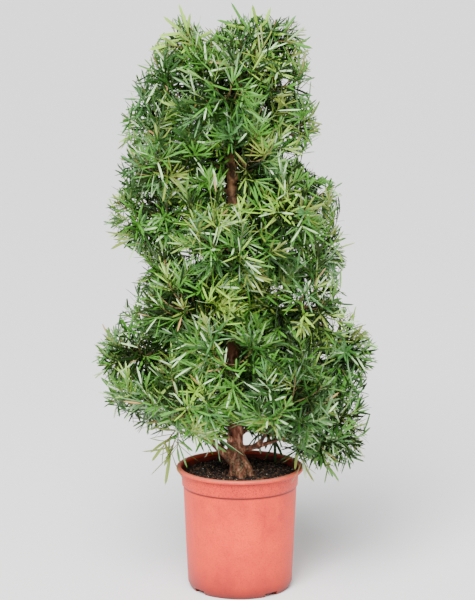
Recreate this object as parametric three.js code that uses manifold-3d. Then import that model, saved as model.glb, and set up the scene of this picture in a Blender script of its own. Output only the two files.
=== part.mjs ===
// A potted podocarpus: a loosely clipped evergreen cone on one trunk, in a terracotta-coloured plastic nursery pot.
// Millimetres, +Z up. The origin is the centre of the pot's flat underside, and the plant's front faces -Y.
// The plant stands in its own group on the potting mix, and its heights are counted from there.
import * as THREE from "three";
import Module from "manifold-3d";
import { mergeVertices } from "three/addons/utils/BufferGeometryUtils.js";

const wasm = await Module();
wasm.setup();

// Clear space between two solids that touch on the real plant
const CLEARANCE = 0.3;

// The pot, from its underside up to its lip
const POT = {
  height: 253,
  sides: 36,
  wall: 2.4,
  floor: 4,
  footRadius: 101.5,
  footHeight: 12,
  baseRadius: 107,
  stepHeight: 214,
  stepRadius: 116.5,
  stepWidth: 1.5,
  bandTopRadius: 119.5,
  lipRadius: 130,
  lipInnerRadius: 120,
  lipHeight: 8.5,
  lipCorner: 3,
};

// The drain pockets in the pot's foot: each lifts the floor at the wall and has one slot in its roof
const POCKET = { count: 4, firstDegrees: -142.5, width: 30, height: 8.5, depth: 17, slotWidth: 14, slotDepth: 6 };

// The potting mix: flat where the trunk stands, falling a little to the wall
const SOIL = { top: 242, flatRadius: 88, edgeDrop: 4 };

// Where the trunk stands on the potting mix
const FOOT = new THREE.Vector3(4, -42, SOIL.top + CLEARANCE);

// The trunk's axis and radius at heights above the potting mix
const TRUNK = [
  { height: 0, x: 0, y: 0, radius: 23 },
  { height: 18, x: -2, y: 4, radius: 20 },
  { height: 45, x: -12, y: 13, radius: 16.8 },
  { height: 110, x: -14, y: 29, radius: 15.6 },
  { height: 250, x: -18, y: 42, radius: 13 },
  { height: 420, x: -13, y: 43, radius: 11.6 },
  { height: 610, x: -20, y: 42, radius: 10 },
  { height: 730, x: -17, y: 42, radius: 7.4 },
  { height: 835, x: 6, y: 42, radius: 4.6 },
];
const TRUNK_RINGS = { sides: 10, steps: 22, crowding: 1.35 };
const ROOT_FLARE = { lobes: 4, share: 0.24, height: 26, turnDegrees: 20 };

// Every bough tapers to its tip, sags or arches by a share of its length, and ends this deep in its mass's space.
// A bough that forks from another starts at a share of its parent's length.
const BOUGH = { sides: 5, steps: 3, tip: 3, bow: -0.06, entryDepth: 14, forkShare: 0.5 };

// One row for each mass of foliage: its compass angle round the trunk (0 right, 90 back, 180 left, 270 front),
// its middle's reach from the trunk's axis and its height, half its width and half its depth up and down.
// "from" is the height where its bough leaves the trunk, or the name of the bough that it forks from.
// A row without "root", the bough's radius there, has no bough: its own stem starts at the trunk.
const MASSES = [
  { name: "low_left", angle: 186, reach: 162, height: 156, wide: 114, tall: 84, from: 11, root: 11.5, bow: 0.1 },
  { name: "low_right", angle: 354, reach: 174, height: 94, wide: 107, tall: 100, from: 50, root: 7.5, bow: -0.06 },
  { name: "low_front_left", angle: 236, reach: 158, height: 160, wide: 108, tall: 76, from: 66, root: 5.5 },
  { name: "low_front_right", angle: 306, reach: 168, height: 172, wide: 112, tall: 88, from: "low_right", root: 4.6 },
  { name: "low_back_right", angle: 52, reach: 168, height: 128, wide: 112, tall: 94, from: 74, root: 6.2 },
  { name: "low_back_left", angle: 118, reach: 168, height: 138, wide: 112, tall: 94, from: 96, root: 6.2 },

  { name: "lower_right", angle: 2, reach: 188, height: 244, wide: 114, tall: 84, from: 218, root: 5.8 },
  { name: "lower_back", angle: 98, reach: 160, height: 264, wide: 114, tall: 88, from: 206, root: 5.8 },
  { name: "lower_left", angle: 190, reach: 176, height: 246, wide: 114, tall: 84, from: 226, root: 5.8 },
  { name: "lower_front", angle: 266, reach: 158, height: 254, wide: 110, tall: 86, from: 190, root: 5.2 },

  { name: "middle_right", angle: 12, reach: 142, height: 448, wide: 104, tall: 84, from: 384, root: 5.2 },
  { name: "middle_back", angle: 92, reach: 130, height: 402, wide: 104, tall: 86, from: 344, root: 5.2 },
  { name: "middle_left", angle: 170, reach: 124, height: 402, wide: 100, tall: 84, from: 352, root: 5.2 },
  { name: "middle_front_left", angle: 232, reach: 142, height: 352, wide: 106, tall: 84, from: 306, root: 5 },
  { name: "middle_front_right", angle: 326, reach: 152, height: 350, wide: 106, tall: 84, from: 288, root: 5 },

  { name: "upper_left", angle: 182, reach: 155, height: 524, wide: 108, tall: 88, from: 455, root: 6 },
  { name: "upper_front", angle: 262, reach: 120, height: 472, wide: 104, tall: 86, from: 426, root: 4.6 },
  { name: "upper_front_right", angle: 318, reach: 118, height: 540, wide: 98, tall: 84, from: 480, root: 4.8 },
  { name: "upper_right", angle: 18, reach: 138, height: 556, wide: 100, tall: 84, from: 505, root: 4.8 },
  { name: "upper_back", angle: 100, reach: 120, height: 540, wide: 102, tall: 86, from: 470, root: 4.8 },

  { name: "high_front_left", angle: 206, reach: 138, height: 630, wide: 98, tall: 76, from: 570, root: 4.6 },
  { name: "high_left", angle: 172, reach: 132, height: 708, wide: 98, tall: 72, from: 606, root: 4.4 },
  { name: "high_right", angle: 6, reach: 104, height: 694, wide: 98, tall: 76, from: 628, root: 4.2 },
  { name: "high_front", angle: 286, reach: 100, height: 640, wide: 92, tall: 76, from: 588, root: 4 },
  { name: "high_back", angle: 90, reach: 106, height: 664, wide: 98, tall: 80, from: 600, root: 4.2 },

  { name: "crest_front", angle: 258, reach: 84, height: 766, wide: 92, tall: 76, from: 712 },
  { name: "crest_left", angle: 188, reach: 112, height: 798, wide: 96, tall: 68, from: 722 },
  { name: "crest_right", angle: 356, reach: 72, height: 780, wide: 92, tall: 68, from: 740 },
  { name: "crest_back", angle: 84, reach: 84, height: 776, wide: 92, tall: 76, from: 728 },

  { name: "top_left", angle: 172, reach: 90, height: 868, wide: 96, tall: 64, from: 790 },
  { name: "top", angle: 10, reach: 24, height: 872, wide: 96, tall: 90, from: 835, upward: 0.5 },
];

// The rule by which every mass grows
const GOLDEN_ANGLE = Math.PI * (3 - Math.sqrt(5));
const STEM = {
  radius: 4,
  tip: 3.2,
  bend: 0.8,
  outward: 0.24,
  upward: 0.1,
  sides: 3,
  steps: 2,
  leaves: 5,
  firstLeaf: 0.4,
};
const TWIG = {
  count: 4,
  radius: 1.6,
  tip: 1.5,
  first: 0.2,
  last: 0.95,
  spread: [84, 60],
  roomShare: 0.3,
  least: 12,
  sides: 3,
  leaves: 3,
  firstLeaf: 0.4,
};
const LEAF = {
  length: 124,
  width: 26,
  fullWidthLength: 100,
  thickness: 2.2,
  widest: 0.48,
  droop: 0.08,
  sunk: 0.4,
  last: 0.97,
  spread: [80, 24],
  growth: [0.88, 1.06],
  least: 0.34,
  shortening: 0.06,
  apart: 18,
  turns: 16,
  lengthWeight: 0.4,
};
const SPACE_MARGIN = 0.5;
const LIMB_MARGIN = 2;
const SEED = { first: 1008, step: 77 };

const UP = new THREE.Vector3(0, 0, 1);
const radians = THREE.MathUtils.degToRad;
const lerp = THREE.MathUtils.lerp;

const plastic = new THREE.MeshStandardMaterial({ color: 0xe07862, roughness: 0.55, metalness: 0 });
const pottingMix = new THREE.MeshStandardMaterial({ color: 0x2c211b, roughness: 0.95, metalness: 0 });
const bark = new THREE.MeshStandardMaterial({ color: 0x7d5645, roughness: 0.85, metalness: 0 });
const foliage = new THREE.MeshStandardMaterial({ color: 0x3f7a35, roughness: 0.45, metalness: 0 });

// Numbers from 0 to 1 that are the same in every run
function seededRandom(seed) {
  let state = seed;
  return () => {
    state = (state * 1664525 + 1013904223) % 4294967296;
    return state / 4294967296;
  };
}

// A closed geometry as a solid that can be joined and cut
function solidFrom(geometry) {
  const bare = new THREE.BufferGeometry();
  bare.setAttribute("position", geometry.getAttribute("position"));
  bare.setIndex(geometry.getIndex());
  const merged = mergeVertices(bare, 1e-4);
  return new wasm.Manifold(
    new wasm.Mesh({
      numProp: 3,
      vertProperties: merged.getAttribute("position").array,
      triVerts: new Uint32Array(merged.getIndex().array),
    }),
  );
}

// The largest shell of a solid: what fusing sealed inside is filled, and loose scraps are dropped
function oneBody(solid) {
  const tolerance = 0.02;
  const largest = solid.decompose().reduce((best, shell) => (shell.volume() > best.volume() ? shell : best));
  return largest.simplify(tolerance);
}

function meshFrom(name, solid, material) {
  const { vertProperties, triVerts } = oneBody(solid).getMesh();
  const geometry = new THREE.BufferGeometry();
  geometry.setAttribute("position", new THREE.BufferAttribute(new Float32Array(vertProperties), 3));
  geometry.setIndex(new THREE.BufferAttribute(new Uint32Array(triVerts), 1));
  geometry.computeVertexNormals();
  const mesh = new THREE.Mesh(geometry, material);
  mesh.name = name;
  return mesh;
}

// A turned solid from its profile of [radius, height] pairs, from the axis at the bottom to the axis at the top
function turned(profile) {
  const points = profile.map(([radius, height]) => new THREE.Vector2(radius, height));
  return solidFrom(new THREE.LatheGeometry(points, POT.sides).rotateX(Math.PI / 2));
}

// Pot

// The wall's outer radius at a height, for the plain cone under the band
function wallRadius(height) {
  return lerp(POT.baseRadius, POT.stepRadius, (height - POT.footHeight) / (POT.stepHeight - POT.footHeight));
}

function potCavity(gap) {
  const lowest = POT.floor + gap;
  const foot = POT.footHeight;
  return turned([
    [0, lowest],
    [POT.footRadius - POT.wall - gap, lowest],
    [POT.baseRadius - POT.wall - gap, foot],
    [POT.stepRadius - POT.wall - gap, POT.stepHeight],
    [POT.bandTopRadius - POT.wall - gap, POT.height - POT.lipHeight],
    [POT.lipInnerRadius - gap, POT.height],
    [POT.lipInnerRadius - gap, POT.height + POT.wall],
    [0, POT.height + POT.wall],
  ]);
}

function potBody() {
  const lipFoot = POT.height - POT.lipHeight;
  return turned([
    [0, 0],
    [POT.footRadius, 0],
    [POT.baseRadius, POT.footHeight],
    [POT.stepRadius, POT.stepHeight],
    [POT.stepRadius + POT.stepWidth, POT.stepHeight + POT.stepWidth],
    [POT.bandTopRadius, lipFoot],
    [POT.lipRadius - POT.lipCorner, lipFoot],
    [POT.lipRadius, lipFoot + POT.lipCorner],
    [POT.lipRadius, POT.height - POT.lipCorner],
    [POT.lipRadius - POT.lipCorner, POT.height],
    [0, POT.height],
  ]);
}

// Blocks that stand on the ground at the pot's foot, one at each pocket, grown by a wall on every side
function pocketBlocks(grown) {
  const depth = POCKET.depth + grown;
  const reach = POT.baseRadius + POT.lipCorner;
  const blocks = Array.from({ length: POCKET.count }, (_, i) => {
    const length = depth + reach - POT.footRadius;
    const block = new THREE.BoxGeometry(length, POCKET.width + 2 * grown, 2 * (POCKET.height + grown));
    block.translate((POT.footRadius + reach - depth) / 2, 0, 0);
    block.rotateZ(radians(POCKET.firstDegrees + (i * 360) / POCKET.count));
    return solidFrom(block);
  });
  return wasm.Manifold.union(blocks);
}

function drainSlots() {
  const slots = Array.from({ length: POCKET.count }, (_, i) => {
    const slot = new THREE.BoxGeometry(POCKET.slotDepth, POCKET.slotWidth, 4 * POCKET.height);
    slot.translate(POT.footRadius - POCKET.depth / 2, 0, 0);
    slot.rotateZ(radians(POCKET.firstDegrees + (i * 360) / POCKET.count));
    return solidFrom(slot);
  });
  return wasm.Manifold.union(slots);
}

function makePot() {
  const outside = potBody();
  const shell = outside.subtract(potCavity(0));
  const pocketWalls = pocketBlocks(POT.wall).intersect(outside);
  return shell.add(pocketWalls).subtract(pocketBlocks(0)).subtract(drainSlots());
}

// Potting mix

function makeSoil() {
  const edge = SOIL.top - SOIL.edgeDrop;
  const heap = turned([
    [0, POT.floor],
    [POT.lipRadius, POT.floor],
    [POT.lipRadius, edge],
    [wallRadius(edge) - POT.wall, edge],
    [SOIL.flatRadius, SOIL.top],
    [0, SOIL.top],
  ]);
  return heap.intersect(potCavity(CLEARANCE)).subtract(pocketBlocks(POT.wall + CLEARANCE));
}

// Trunk

const trunkAxis = new THREE.CatmullRomCurve3(
  TRUNK.map(({ height, x, y }) => new THREE.Vector3(x, y, height)),
  false,
  "centripetal",
);
const TRUNK_TOP = TRUNK.at(-1).height;

// The station pair around a height, and how far the height lies between them
function trunkSpan(height) {
  const i = Math.min(
    TRUNK.length - 2,
    TRUNK.findLastIndex((station) => station.height <= Math.max(0, height)),
  );
  const [low, high] = [TRUNK[i], TRUNK[i + 1]];
  return { i, share: (height - low.height) / (high.height - low.height), low, high };
}

function trunkRadius(height) {
  const { low, high, share } = trunkSpan(height);
  return lerp(low.radius, high.radius, THREE.MathUtils.clamp(share, 0, 1));
}

function trunkPoint(height) {
  const { i, share } = trunkSpan(height);
  const point = trunkAxis.getPoint((i + share) / (TRUNK.length - 1));
  point.z = height;
  return point;
}

// The trunk with its flared foot, its surface moved outwards by a gap
function trunkSolid(gap) {
  const geometry = new THREE.CylinderGeometry(1, 1, 1, TRUNK_RINGS.sides, TRUNK_RINGS.steps).rotateX(Math.PI / 2);
  const position = geometry.getAttribute("position");
  for (let i = 0; i < position.count; i++) {
    const share = position.getZ(i) + 0.5;
    const height = TRUNK_TOP * share ** TRUNK_RINGS.crowding;
    const turn = Math.atan2(position.getY(i), position.getX(i));
    const lobe = Math.cos(ROOT_FLARE.lobes * turn + radians(ROOT_FLARE.turnDegrees));
    const flare = 1 + ROOT_FLARE.share * lobe * Math.exp(-height / ROOT_FLARE.height);
    const radius = trunkRadius(height) * flare + gap;
    const axis = trunkPoint(height);
    const end = height === TRUNK_TOP ? gap : 0;
    position.setXYZ(i, axis.x + position.getX(i) * radius, axis.y + position.getY(i) * radius, height + end);
  }
  return solidFrom(geometry);
}

// Limbs

// A closed tube that tapers along a curve: a cylinder whose rings are moved onto the curve
function taperedTube(curve, rootRadius, tipRadius, sides, steps) {
  const geometry = new THREE.CylinderGeometry(1, 1, 1, sides, steps);
  const frames = curve.computeFrenetFrames(steps, false);
  const position = geometry.getAttribute("position");
  for (let i = 0; i < position.count; i++) {
    const step = Math.round((position.getY(i) + 0.5) * steps);
    const radius = lerp(rootRadius, tipRadius, step / steps);
    const point = curve.getPointAt(step / steps);
    point.addScaledVector(frames.normals[step], position.getX(i) * radius);
    point.addScaledVector(frames.binormals[step], -position.getZ(i) * radius);
    position.setXYZ(i, point.x, point.y, point.z);
  }
  return solidFrom(geometry);
}

// The limbs that foliage keeps clear of, as short straight pieces with a radius
const limbPieces = [];

function noteLimb(pointAt, radiusAt, steps) {
  for (let i = 0; i < steps; i++) {
    const line = new THREE.Line3(pointAt(i / steps), pointAt((i + 1) / steps));
    limbPieces.push({ line, radius: radiusAt(i / steps) });
  }
}

const nearest = new THREE.Vector3();
function clearOfLimbs(point, halfWidth) {
  return limbPieces.every(({ line, radius }) => {
    line.closestPointToPoint(point, true, nearest);
    return nearest.distanceTo(point) > radius + halfWidth + LIMB_MARGIN;
  });
}

// Spaces

function massCentre({ angle, reach, height }) {
  const direction = new THREE.Vector3(Math.cos(radians(angle)), Math.sin(radians(angle)), 0);
  return trunkPoint(Math.min(height, TRUNK_TOP)).addScaledVector(direction, reach).setZ(height);
}

const centres = MASSES.map(massCentre);

// How far a point lies inside a mass's space: within its egg, and nearer to its middle than to any other
function depthInSpace(index, point) {
  const { wide, tall } = MASSES[index];
  const offset = point.clone().sub(centres[index]);
  const share = Math.hypot(offset.x / wide, offset.y / wide, offset.z / tall);
  let depth = (1 - share) * tall;
  centres.forEach((other, i) => {
    if (i === index) return;
    const across = other.clone().sub(centres[index]);
    const gap = across.length();
    depth = Math.min(depth, gap / 2 - offset.dot(across) / gap);
  });
  return depth;
}

// Boughs

const limbs = new Map();

function parentOf(row) {
  if (typeof row.from === "string") {
    const fork = limbs.get(row.from);
    return { start: fork.curve.getPointAt(BOUGH.forkShare), cutter: fork.cutter };
  }
  return { start: trunkPoint(row.from), cutter: () => trunkSolid(CLEARANCE) };
}

// Where a bough's way to the middle of its mass first lies deep enough in the mass's space
function entryPoint(index, start) {
  const [nearest, farthest, stride] = [0.3, 0.9, 0.05];
  let share = nearest;
  const point = () => start.clone().lerp(centres[index], share);
  while (share < farthest && depthInSpace(index, point()) < BOUGH.entryDepth) share += stride;
  return point();
}

function makeBough(row, index) {
  const { start, cutter } = parentOf(row);
  const end = entryPoint(index, start);
  const bow = (row.bow ?? BOUGH.bow) * start.distanceTo(end);
  const bend = start.clone().lerp(end, 0.5).addScaledVector(UP, bow);
  const curve = new THREE.QuadraticBezierCurve3(start, bend, end);
  const tube = (gap) => taperedTube(curve, row.root + gap, BOUGH.tip + gap, BOUGH.sides, BOUGH.steps);
  limbs.set(row.name, { curve, cutter: () => tube(CLEARANCE) });
  noteLimb((share) => curve.getPointAt(share), (share) => lerp(row.root, BOUGH.tip, share), BOUGH.steps);
  return tube(0).subtract(cutter());
}

// Foliage

// The direction that leaves an axis at an angle, turned round it
function branching(axis, degrees, turn) {
  const across = Math.abs(axis.z) < 0.9 ? UP : new THREE.Vector3(1, 0, 0);
  const sideways = across.clone().cross(axis).normalize().applyAxisAngle(axis, turn);
  return sideways.multiplyScalar(Math.sin(radians(degrees))).addScaledVector(axis, Math.cos(radians(degrees)));
}

// A leaf blade of eight faces from its root, its flat side facing along the axis that bears it, its tip drooping
function leafBlade({ root, direction, axis }, length) {
  const side = direction.clone().cross(axis).normalize();
  const face = side.clone().cross(direction);
  const width = LEAF.width * Math.min(1, length / LEAF.fullWidthLength) ** 0.7;
  const geometry = new THREE.OctahedronGeometry(1);
  const position = geometry.getAttribute("position");
  for (let i = 0; i < position.count; i++) {
    const [along, across, up] = [position.getX(i), position.getY(i), position.getZ(i)];
    const reach = across || up ? LEAF.widest : Math.max(0, along);
    const point = root.clone().addScaledVector(direction, reach * length);
    point.addScaledVector(side, (-across * width) / 2);
    point.addScaledVector(face, (up * LEAF.thickness) / 2);
    point.addScaledVector(UP, -(reach ** 2) * LEAF.droop * length);
    position.setXYZ(i, point.x, point.y, point.z);
  }
  return geometry;
}

// Whether a blade stays in its space and off every limb
function bladeFits(index, place, length) {
  const position = leafBlade(place, length).getAttribute("position");
  const corner = new THREE.Vector3();
  for (let i = 0; i < position.count; i++) {
    if (depthInSpace(index, corner.fromBufferAttribute(position, i)) < SPACE_MARGIN) return false;
  }
  return [0.2, 0.4, 0.6, 0.8, 1].every((share) => {
    const halfWidth = (LEAF.width / 2) * Math.min(1, 2 * (1 - share));
    return clearOfLimbs(place.root.clone().addScaledVector(place.direction, share * length), halfWidth);
  });
}

// The length of the longest blade that fits in a place, or 0
function fittedLength(index, place, longest) {
  for (let share = 1; share > LEAF.least; share -= LEAF.shortening) {
    if (bladeFits(index, place, longest * share)) return longest * share;
  }
  return 0;
}

// How far it is from a point to the edge of its space, or to the first limb in the way
function roomAhead(index, from, direction) {
  const stride = 4;
  let room = 0;
  while (room < LEAF.length * 2) {
    const point = from.clone().addScaledVector(direction, room + stride);
    if (depthInSpace(index, point) < SPACE_MARGIN) break;
    if (room > stride && !clearOfLimbs(point, TWIG.radius)) break;
    room += stride;
  }
  return room;
}

// Points along a blade from near its widest part, by which blades are kept apart
function bladePoints({ root, direction }, length) {
  return [0.3, 0.5, 0.75, 1].map((share) => root.clone().addScaledVector(direction, share * length));
}

function leastDistance(points, others) {
  return Math.min(Infinity, ...others.flatMap((other) => points.map((point) => point.distanceTo(other))));
}

// Leaves that wind up an axis, each at its angle to it and the last one nearly straight on.
// Of a few turns round the axis each leaf takes the one that keeps it farthest from the mass's other leaves.
function growLeaves(index, curve, count, first, random, leaves) {
  for (let i = 0; i < count; i++) {
    const order = i / (count - 1);
    const share = lerp(first, LEAF.last, order);
    const axis = curve.getTangentAt(share);
    const longest = LEAF.length * lerp(...LEAF.growth, random());
    const firstTurn = random() * Math.PI;
    let best = null;
    for (let turn = 0; turn < LEAF.turns; turn++) {
      const direction = branching(axis, lerp(...LEAF.spread, order), firstTurn + turn * GOLDEN_ANGLE);
      const place = { root: curve.getPointAt(share).addScaledVector(direction, -LEAF.sunk), direction, axis };
      const length = fittedLength(index, place, longest);
      if (!length) continue;
      const points = bladePoints(place, length);
      const apart = leastDistance(points, leaves.flatMap((leaf) => leaf.points));
      const score = Math.min(apart, LEAF.apart * 3) + length * LEAF.lengthWeight;
      if (apart > LEAF.apart && score > (best?.score ?? 0)) best = { place, length, points, score };
    }
    if (best) leaves.push({ solid: solidFrom(leafBlade(best.place, best.length)), points: best.points });
  }
}

// Where a mass's stem starts and which way it heads: from its bough's tip, or from inside the trunk
function stemRoot(row, index) {
  const bough = limbs.get(row.name);
  if (bough) {
    const heading = bough.curve.getTangentAt(1);
    return { start: bough.curve.getPointAt(1).addScaledVector(heading, CLEARANCE), heading };
  }
  const start = trunkPoint(row.from);
  return { start, heading: centres[index].clone().sub(start).normalize() };
}

// One mass: its stem, twigs that wind up the stem, and leaves that wind up the twigs and the stem's end
function makeMass(row, index) {
  const random = seededRandom(SEED.first + SEED.step * index);
  const centre = centres[index];
  const { start, heading } = stemRoot(row, index);
  const outward = centre.clone().sub(trunkPoint(Math.min(row.height, TRUNK_TOP))).setZ(0).normalize();
  const end = centre.clone().addScaledVector(outward, STEM.outward * row.wide);
  end.addScaledVector(UP, (row.upward ?? STEM.upward) * row.tall);
  const bend = start.clone().addScaledVector(heading, start.distanceTo(centre) * STEM.bend);
  const curve = new THREE.QuadraticBezierCurve3(start, bend, end);
  const stem = taperedTube(curve, STEM.radius, STEM.tip, STEM.sides, STEM.steps);
  const pieces = [limbs.has(row.name) ? stem : stem.subtract(trunkSolid(CLEARANCE))];
  const leaves = [];
  for (let i = 0; i < TWIG.count; i++) {
    const order = i / (TWIG.count - 1);
    const share = lerp(TWIG.first, TWIG.last, order);
    const from = curve.getPointAt(share);
    const turn = i * GOLDEN_ANGLE + random();
    const direction = branching(curve.getTangentAt(share), lerp(...TWIG.spread, order), turn);
    const length = TWIG.roomShare * roomAhead(index, from, direction);
    if (length < TWIG.least) continue;
    const twig = new THREE.LineCurve3(from, from.clone().addScaledVector(direction, length));
    pieces.push(taperedTube(twig, TWIG.radius, TWIG.tip, TWIG.sides, 1));
    growLeaves(index, twig, TWIG.leaves, TWIG.firstLeaf, random, leaves);
  }
  growLeaves(index, curve, STEM.leaves, STEM.firstLeaf, random, leaves);
  return wasm.Manifold.union([...pieces, ...leaves.map((leaf) => leaf.solid)]);
}

// Assembly

const pot = new THREE.Group();
pot.add(meshFrom("pot", makePot(), plastic), meshFrom("potting_mix", makeSoil(), pottingMix));

const plant = new THREE.Group();
plant.position.copy(FOOT);
plant.add(meshFrom("trunk", trunkSolid(0), bark));
noteLimb((share) => trunkPoint(share * TRUNK_TOP), (share) => trunkRadius(share * TRUNK_TOP), TRUNK_RINGS.steps);
MASSES.forEach((row, index) => {
  if (row.root) plant.add(meshFrom(`bough_${row.name}`, makeBough(row, index), bark));
});
MASSES.forEach((row, index) => plant.add(meshFrom(`foliage_${row.name}`, makeMass(row, index), foliage)));

const podocarpus = new THREE.Group();
podocarpus.add(pot, plant);

export default podocarpus;
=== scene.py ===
import math
from functools import cache
from itertools import combinations
from typing import NamedTuple

import bpy
import numpy as np
from bpy.props import FloatProperty, FloatVectorProperty, IntProperty, PointerProperty
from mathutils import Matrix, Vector, noise
from mathutils.bvhtree import BVHTree


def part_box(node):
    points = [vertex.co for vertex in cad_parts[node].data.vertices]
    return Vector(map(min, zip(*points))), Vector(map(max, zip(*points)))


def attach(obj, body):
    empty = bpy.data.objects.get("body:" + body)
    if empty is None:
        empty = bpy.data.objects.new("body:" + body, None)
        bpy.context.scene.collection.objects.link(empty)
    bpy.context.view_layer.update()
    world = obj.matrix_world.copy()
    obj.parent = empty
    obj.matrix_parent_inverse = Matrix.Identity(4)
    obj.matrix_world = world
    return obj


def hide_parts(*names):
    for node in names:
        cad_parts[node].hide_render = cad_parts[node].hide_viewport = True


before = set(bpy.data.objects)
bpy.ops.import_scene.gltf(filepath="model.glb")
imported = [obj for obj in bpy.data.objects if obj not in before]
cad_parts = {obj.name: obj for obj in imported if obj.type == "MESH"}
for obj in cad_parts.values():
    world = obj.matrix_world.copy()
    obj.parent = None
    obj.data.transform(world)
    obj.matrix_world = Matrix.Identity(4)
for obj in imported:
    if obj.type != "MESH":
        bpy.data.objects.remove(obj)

bl_info = {
    "name": "Potted podocarpus",
    "version": (1, 0, 0),
    "blender": (4, 5, 0),
    "location": "View3D > Sidebar > Podocarpus",
    "description": "A clipped evergreen cone on one trunk in a plastic nursery pot",
    "category": "Add Mesh",
}

UP = np.array([0.0, 0.0, 1.0])
RIGHT = np.array([1.0, 0.0, 0.0])
GOLDEN_ANGLE = math.pi * (3 - math.sqrt(5))

# Pot
POT_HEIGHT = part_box("pot")[1].z
LIP_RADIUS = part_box("pot")[1].x
POT = {
    "wall": 0.0024, "floor": 0.004, "foot_radius": 0.1015, "foot_height": 0.012, "base_radius": 0.107,
    "step_height": 0.214, "step_radius": 0.1165, "step_width": 0.0015, "band_top_radius": 0.1195,
    "lip_inner_radius": 0.120, "lip_height": 0.0085,
}
POCKET = {
    "count": 4, "first_degrees": -142.5, "width": 0.030, "height": 0.0085, "depth": 0.017,
    "slot_width": 0.014, "slot_depth": 0.006,
}

# Potting mix
SOIL_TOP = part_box("potting_mix")[1].z
SOIL = {
    "flat_radius": 0.088, "edge_drop": 0.004, "edge_gap": 0.0008, "rings": 34, "sides": 144,
    "roughness": 0.0022, "lumps": 0.0026, "lowered": 0.0012, "even_edge": 0.004,
}
CRUMB_KINDS = (
    # name, share of all, least and greatest size, flatness, unevenness, colour or share of the mix's
    ("peat_crumb", 0.42, 0.0022, 0.0066, 0.75, 0.4, 0.75),
    ("brown_crumb", 0.26, 0.0020, 0.0060, 0.6, 0.4, (66, 46, 34)),
    ("bark_chip", 0.12, 0.0045, 0.0110, 0.35, 0.4, (98, 66, 46)),
    ("tan_fibre", 0.15, 0.0016, 0.0046, 0.3, 0.25, (168, 138, 100)),
    ("white_speck", 0.05, 0.0012, 0.0026, 0.9, 0.12, (205, 200, 188)),
)

# Trunk and boughs, by the rule that the solids follow
FOOT = np.array([0.004, -0.042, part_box("trunk")[0].z])
TRUNK = (
    # height, x, y, radius
    (0.000, 0.000, 0.000, 0.0230),
    (0.018, -0.002, 0.004, 0.0200),
    (0.045, -0.012, 0.013, 0.0168),
    (0.110, -0.014, 0.029, 0.0156),
    (0.250, -0.018, 0.042, 0.0130),
    (0.420, -0.013, 0.043, 0.0116),
    (0.610, -0.020, 0.042, 0.0100),
    (0.730, -0.017, 0.042, 0.0074),
    (0.835, 0.006, 0.042, 0.0046),
)
TRUNK_TOP = TRUNK[-1][0]
ROOT_FLARE = {"lobes": 4, "share": 0.24, "height": 0.026, "turn": math.radians(20)}
BOUGH = {"tip": 0.003, "entry_depth": 0.014, "fork_share": 0.5, "collar": 0.0032, "collar_length": 0.011}
# The bark's relief: waves a metre across and along the limb, and their height
BARK_STRIPS, BARK_SWELLINGS, BARK_RINGS = (190, 34, 0.0006), (42, 26, 0.0014), (30, 210, 0.0006)
BARK = {"voxel": 0.0015, "on_boughs": 0.45, "fades_in": 0.004}


class Mass(NamedTuple):
    """One mass of foliage: its compass angle round the trunk (0 right, 90 back), its middle's reach and
    height, its half width and half height, where its bough starts (a height or the bough it forks from),
    and the bough's radius there and bow"""

    name: str
    angle: float
    reach: float
    height: float
    wide: float
    tall: float
    start: float | str
    root: float = 0.0
    bow: float = -0.06


class Growth(NamedTuple):
    """How a limb is set with thinner ones: their number and radii, the shares of the limb where the first
    and last start, the degrees between, how far they fill their room, turn up and stray"""

    count: int
    radius: float
    tip: float
    shares: tuple
    spread: tuple
    room: float
    lift: float
    stray: float
    first_leaf: float = 0.6


class Spray(NamedTuple):
    """One spray that stands out: its mass, where on the stem it starts, its end and its tone"""

    mass: str
    share: float
    end: tuple
    tone: str


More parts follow.
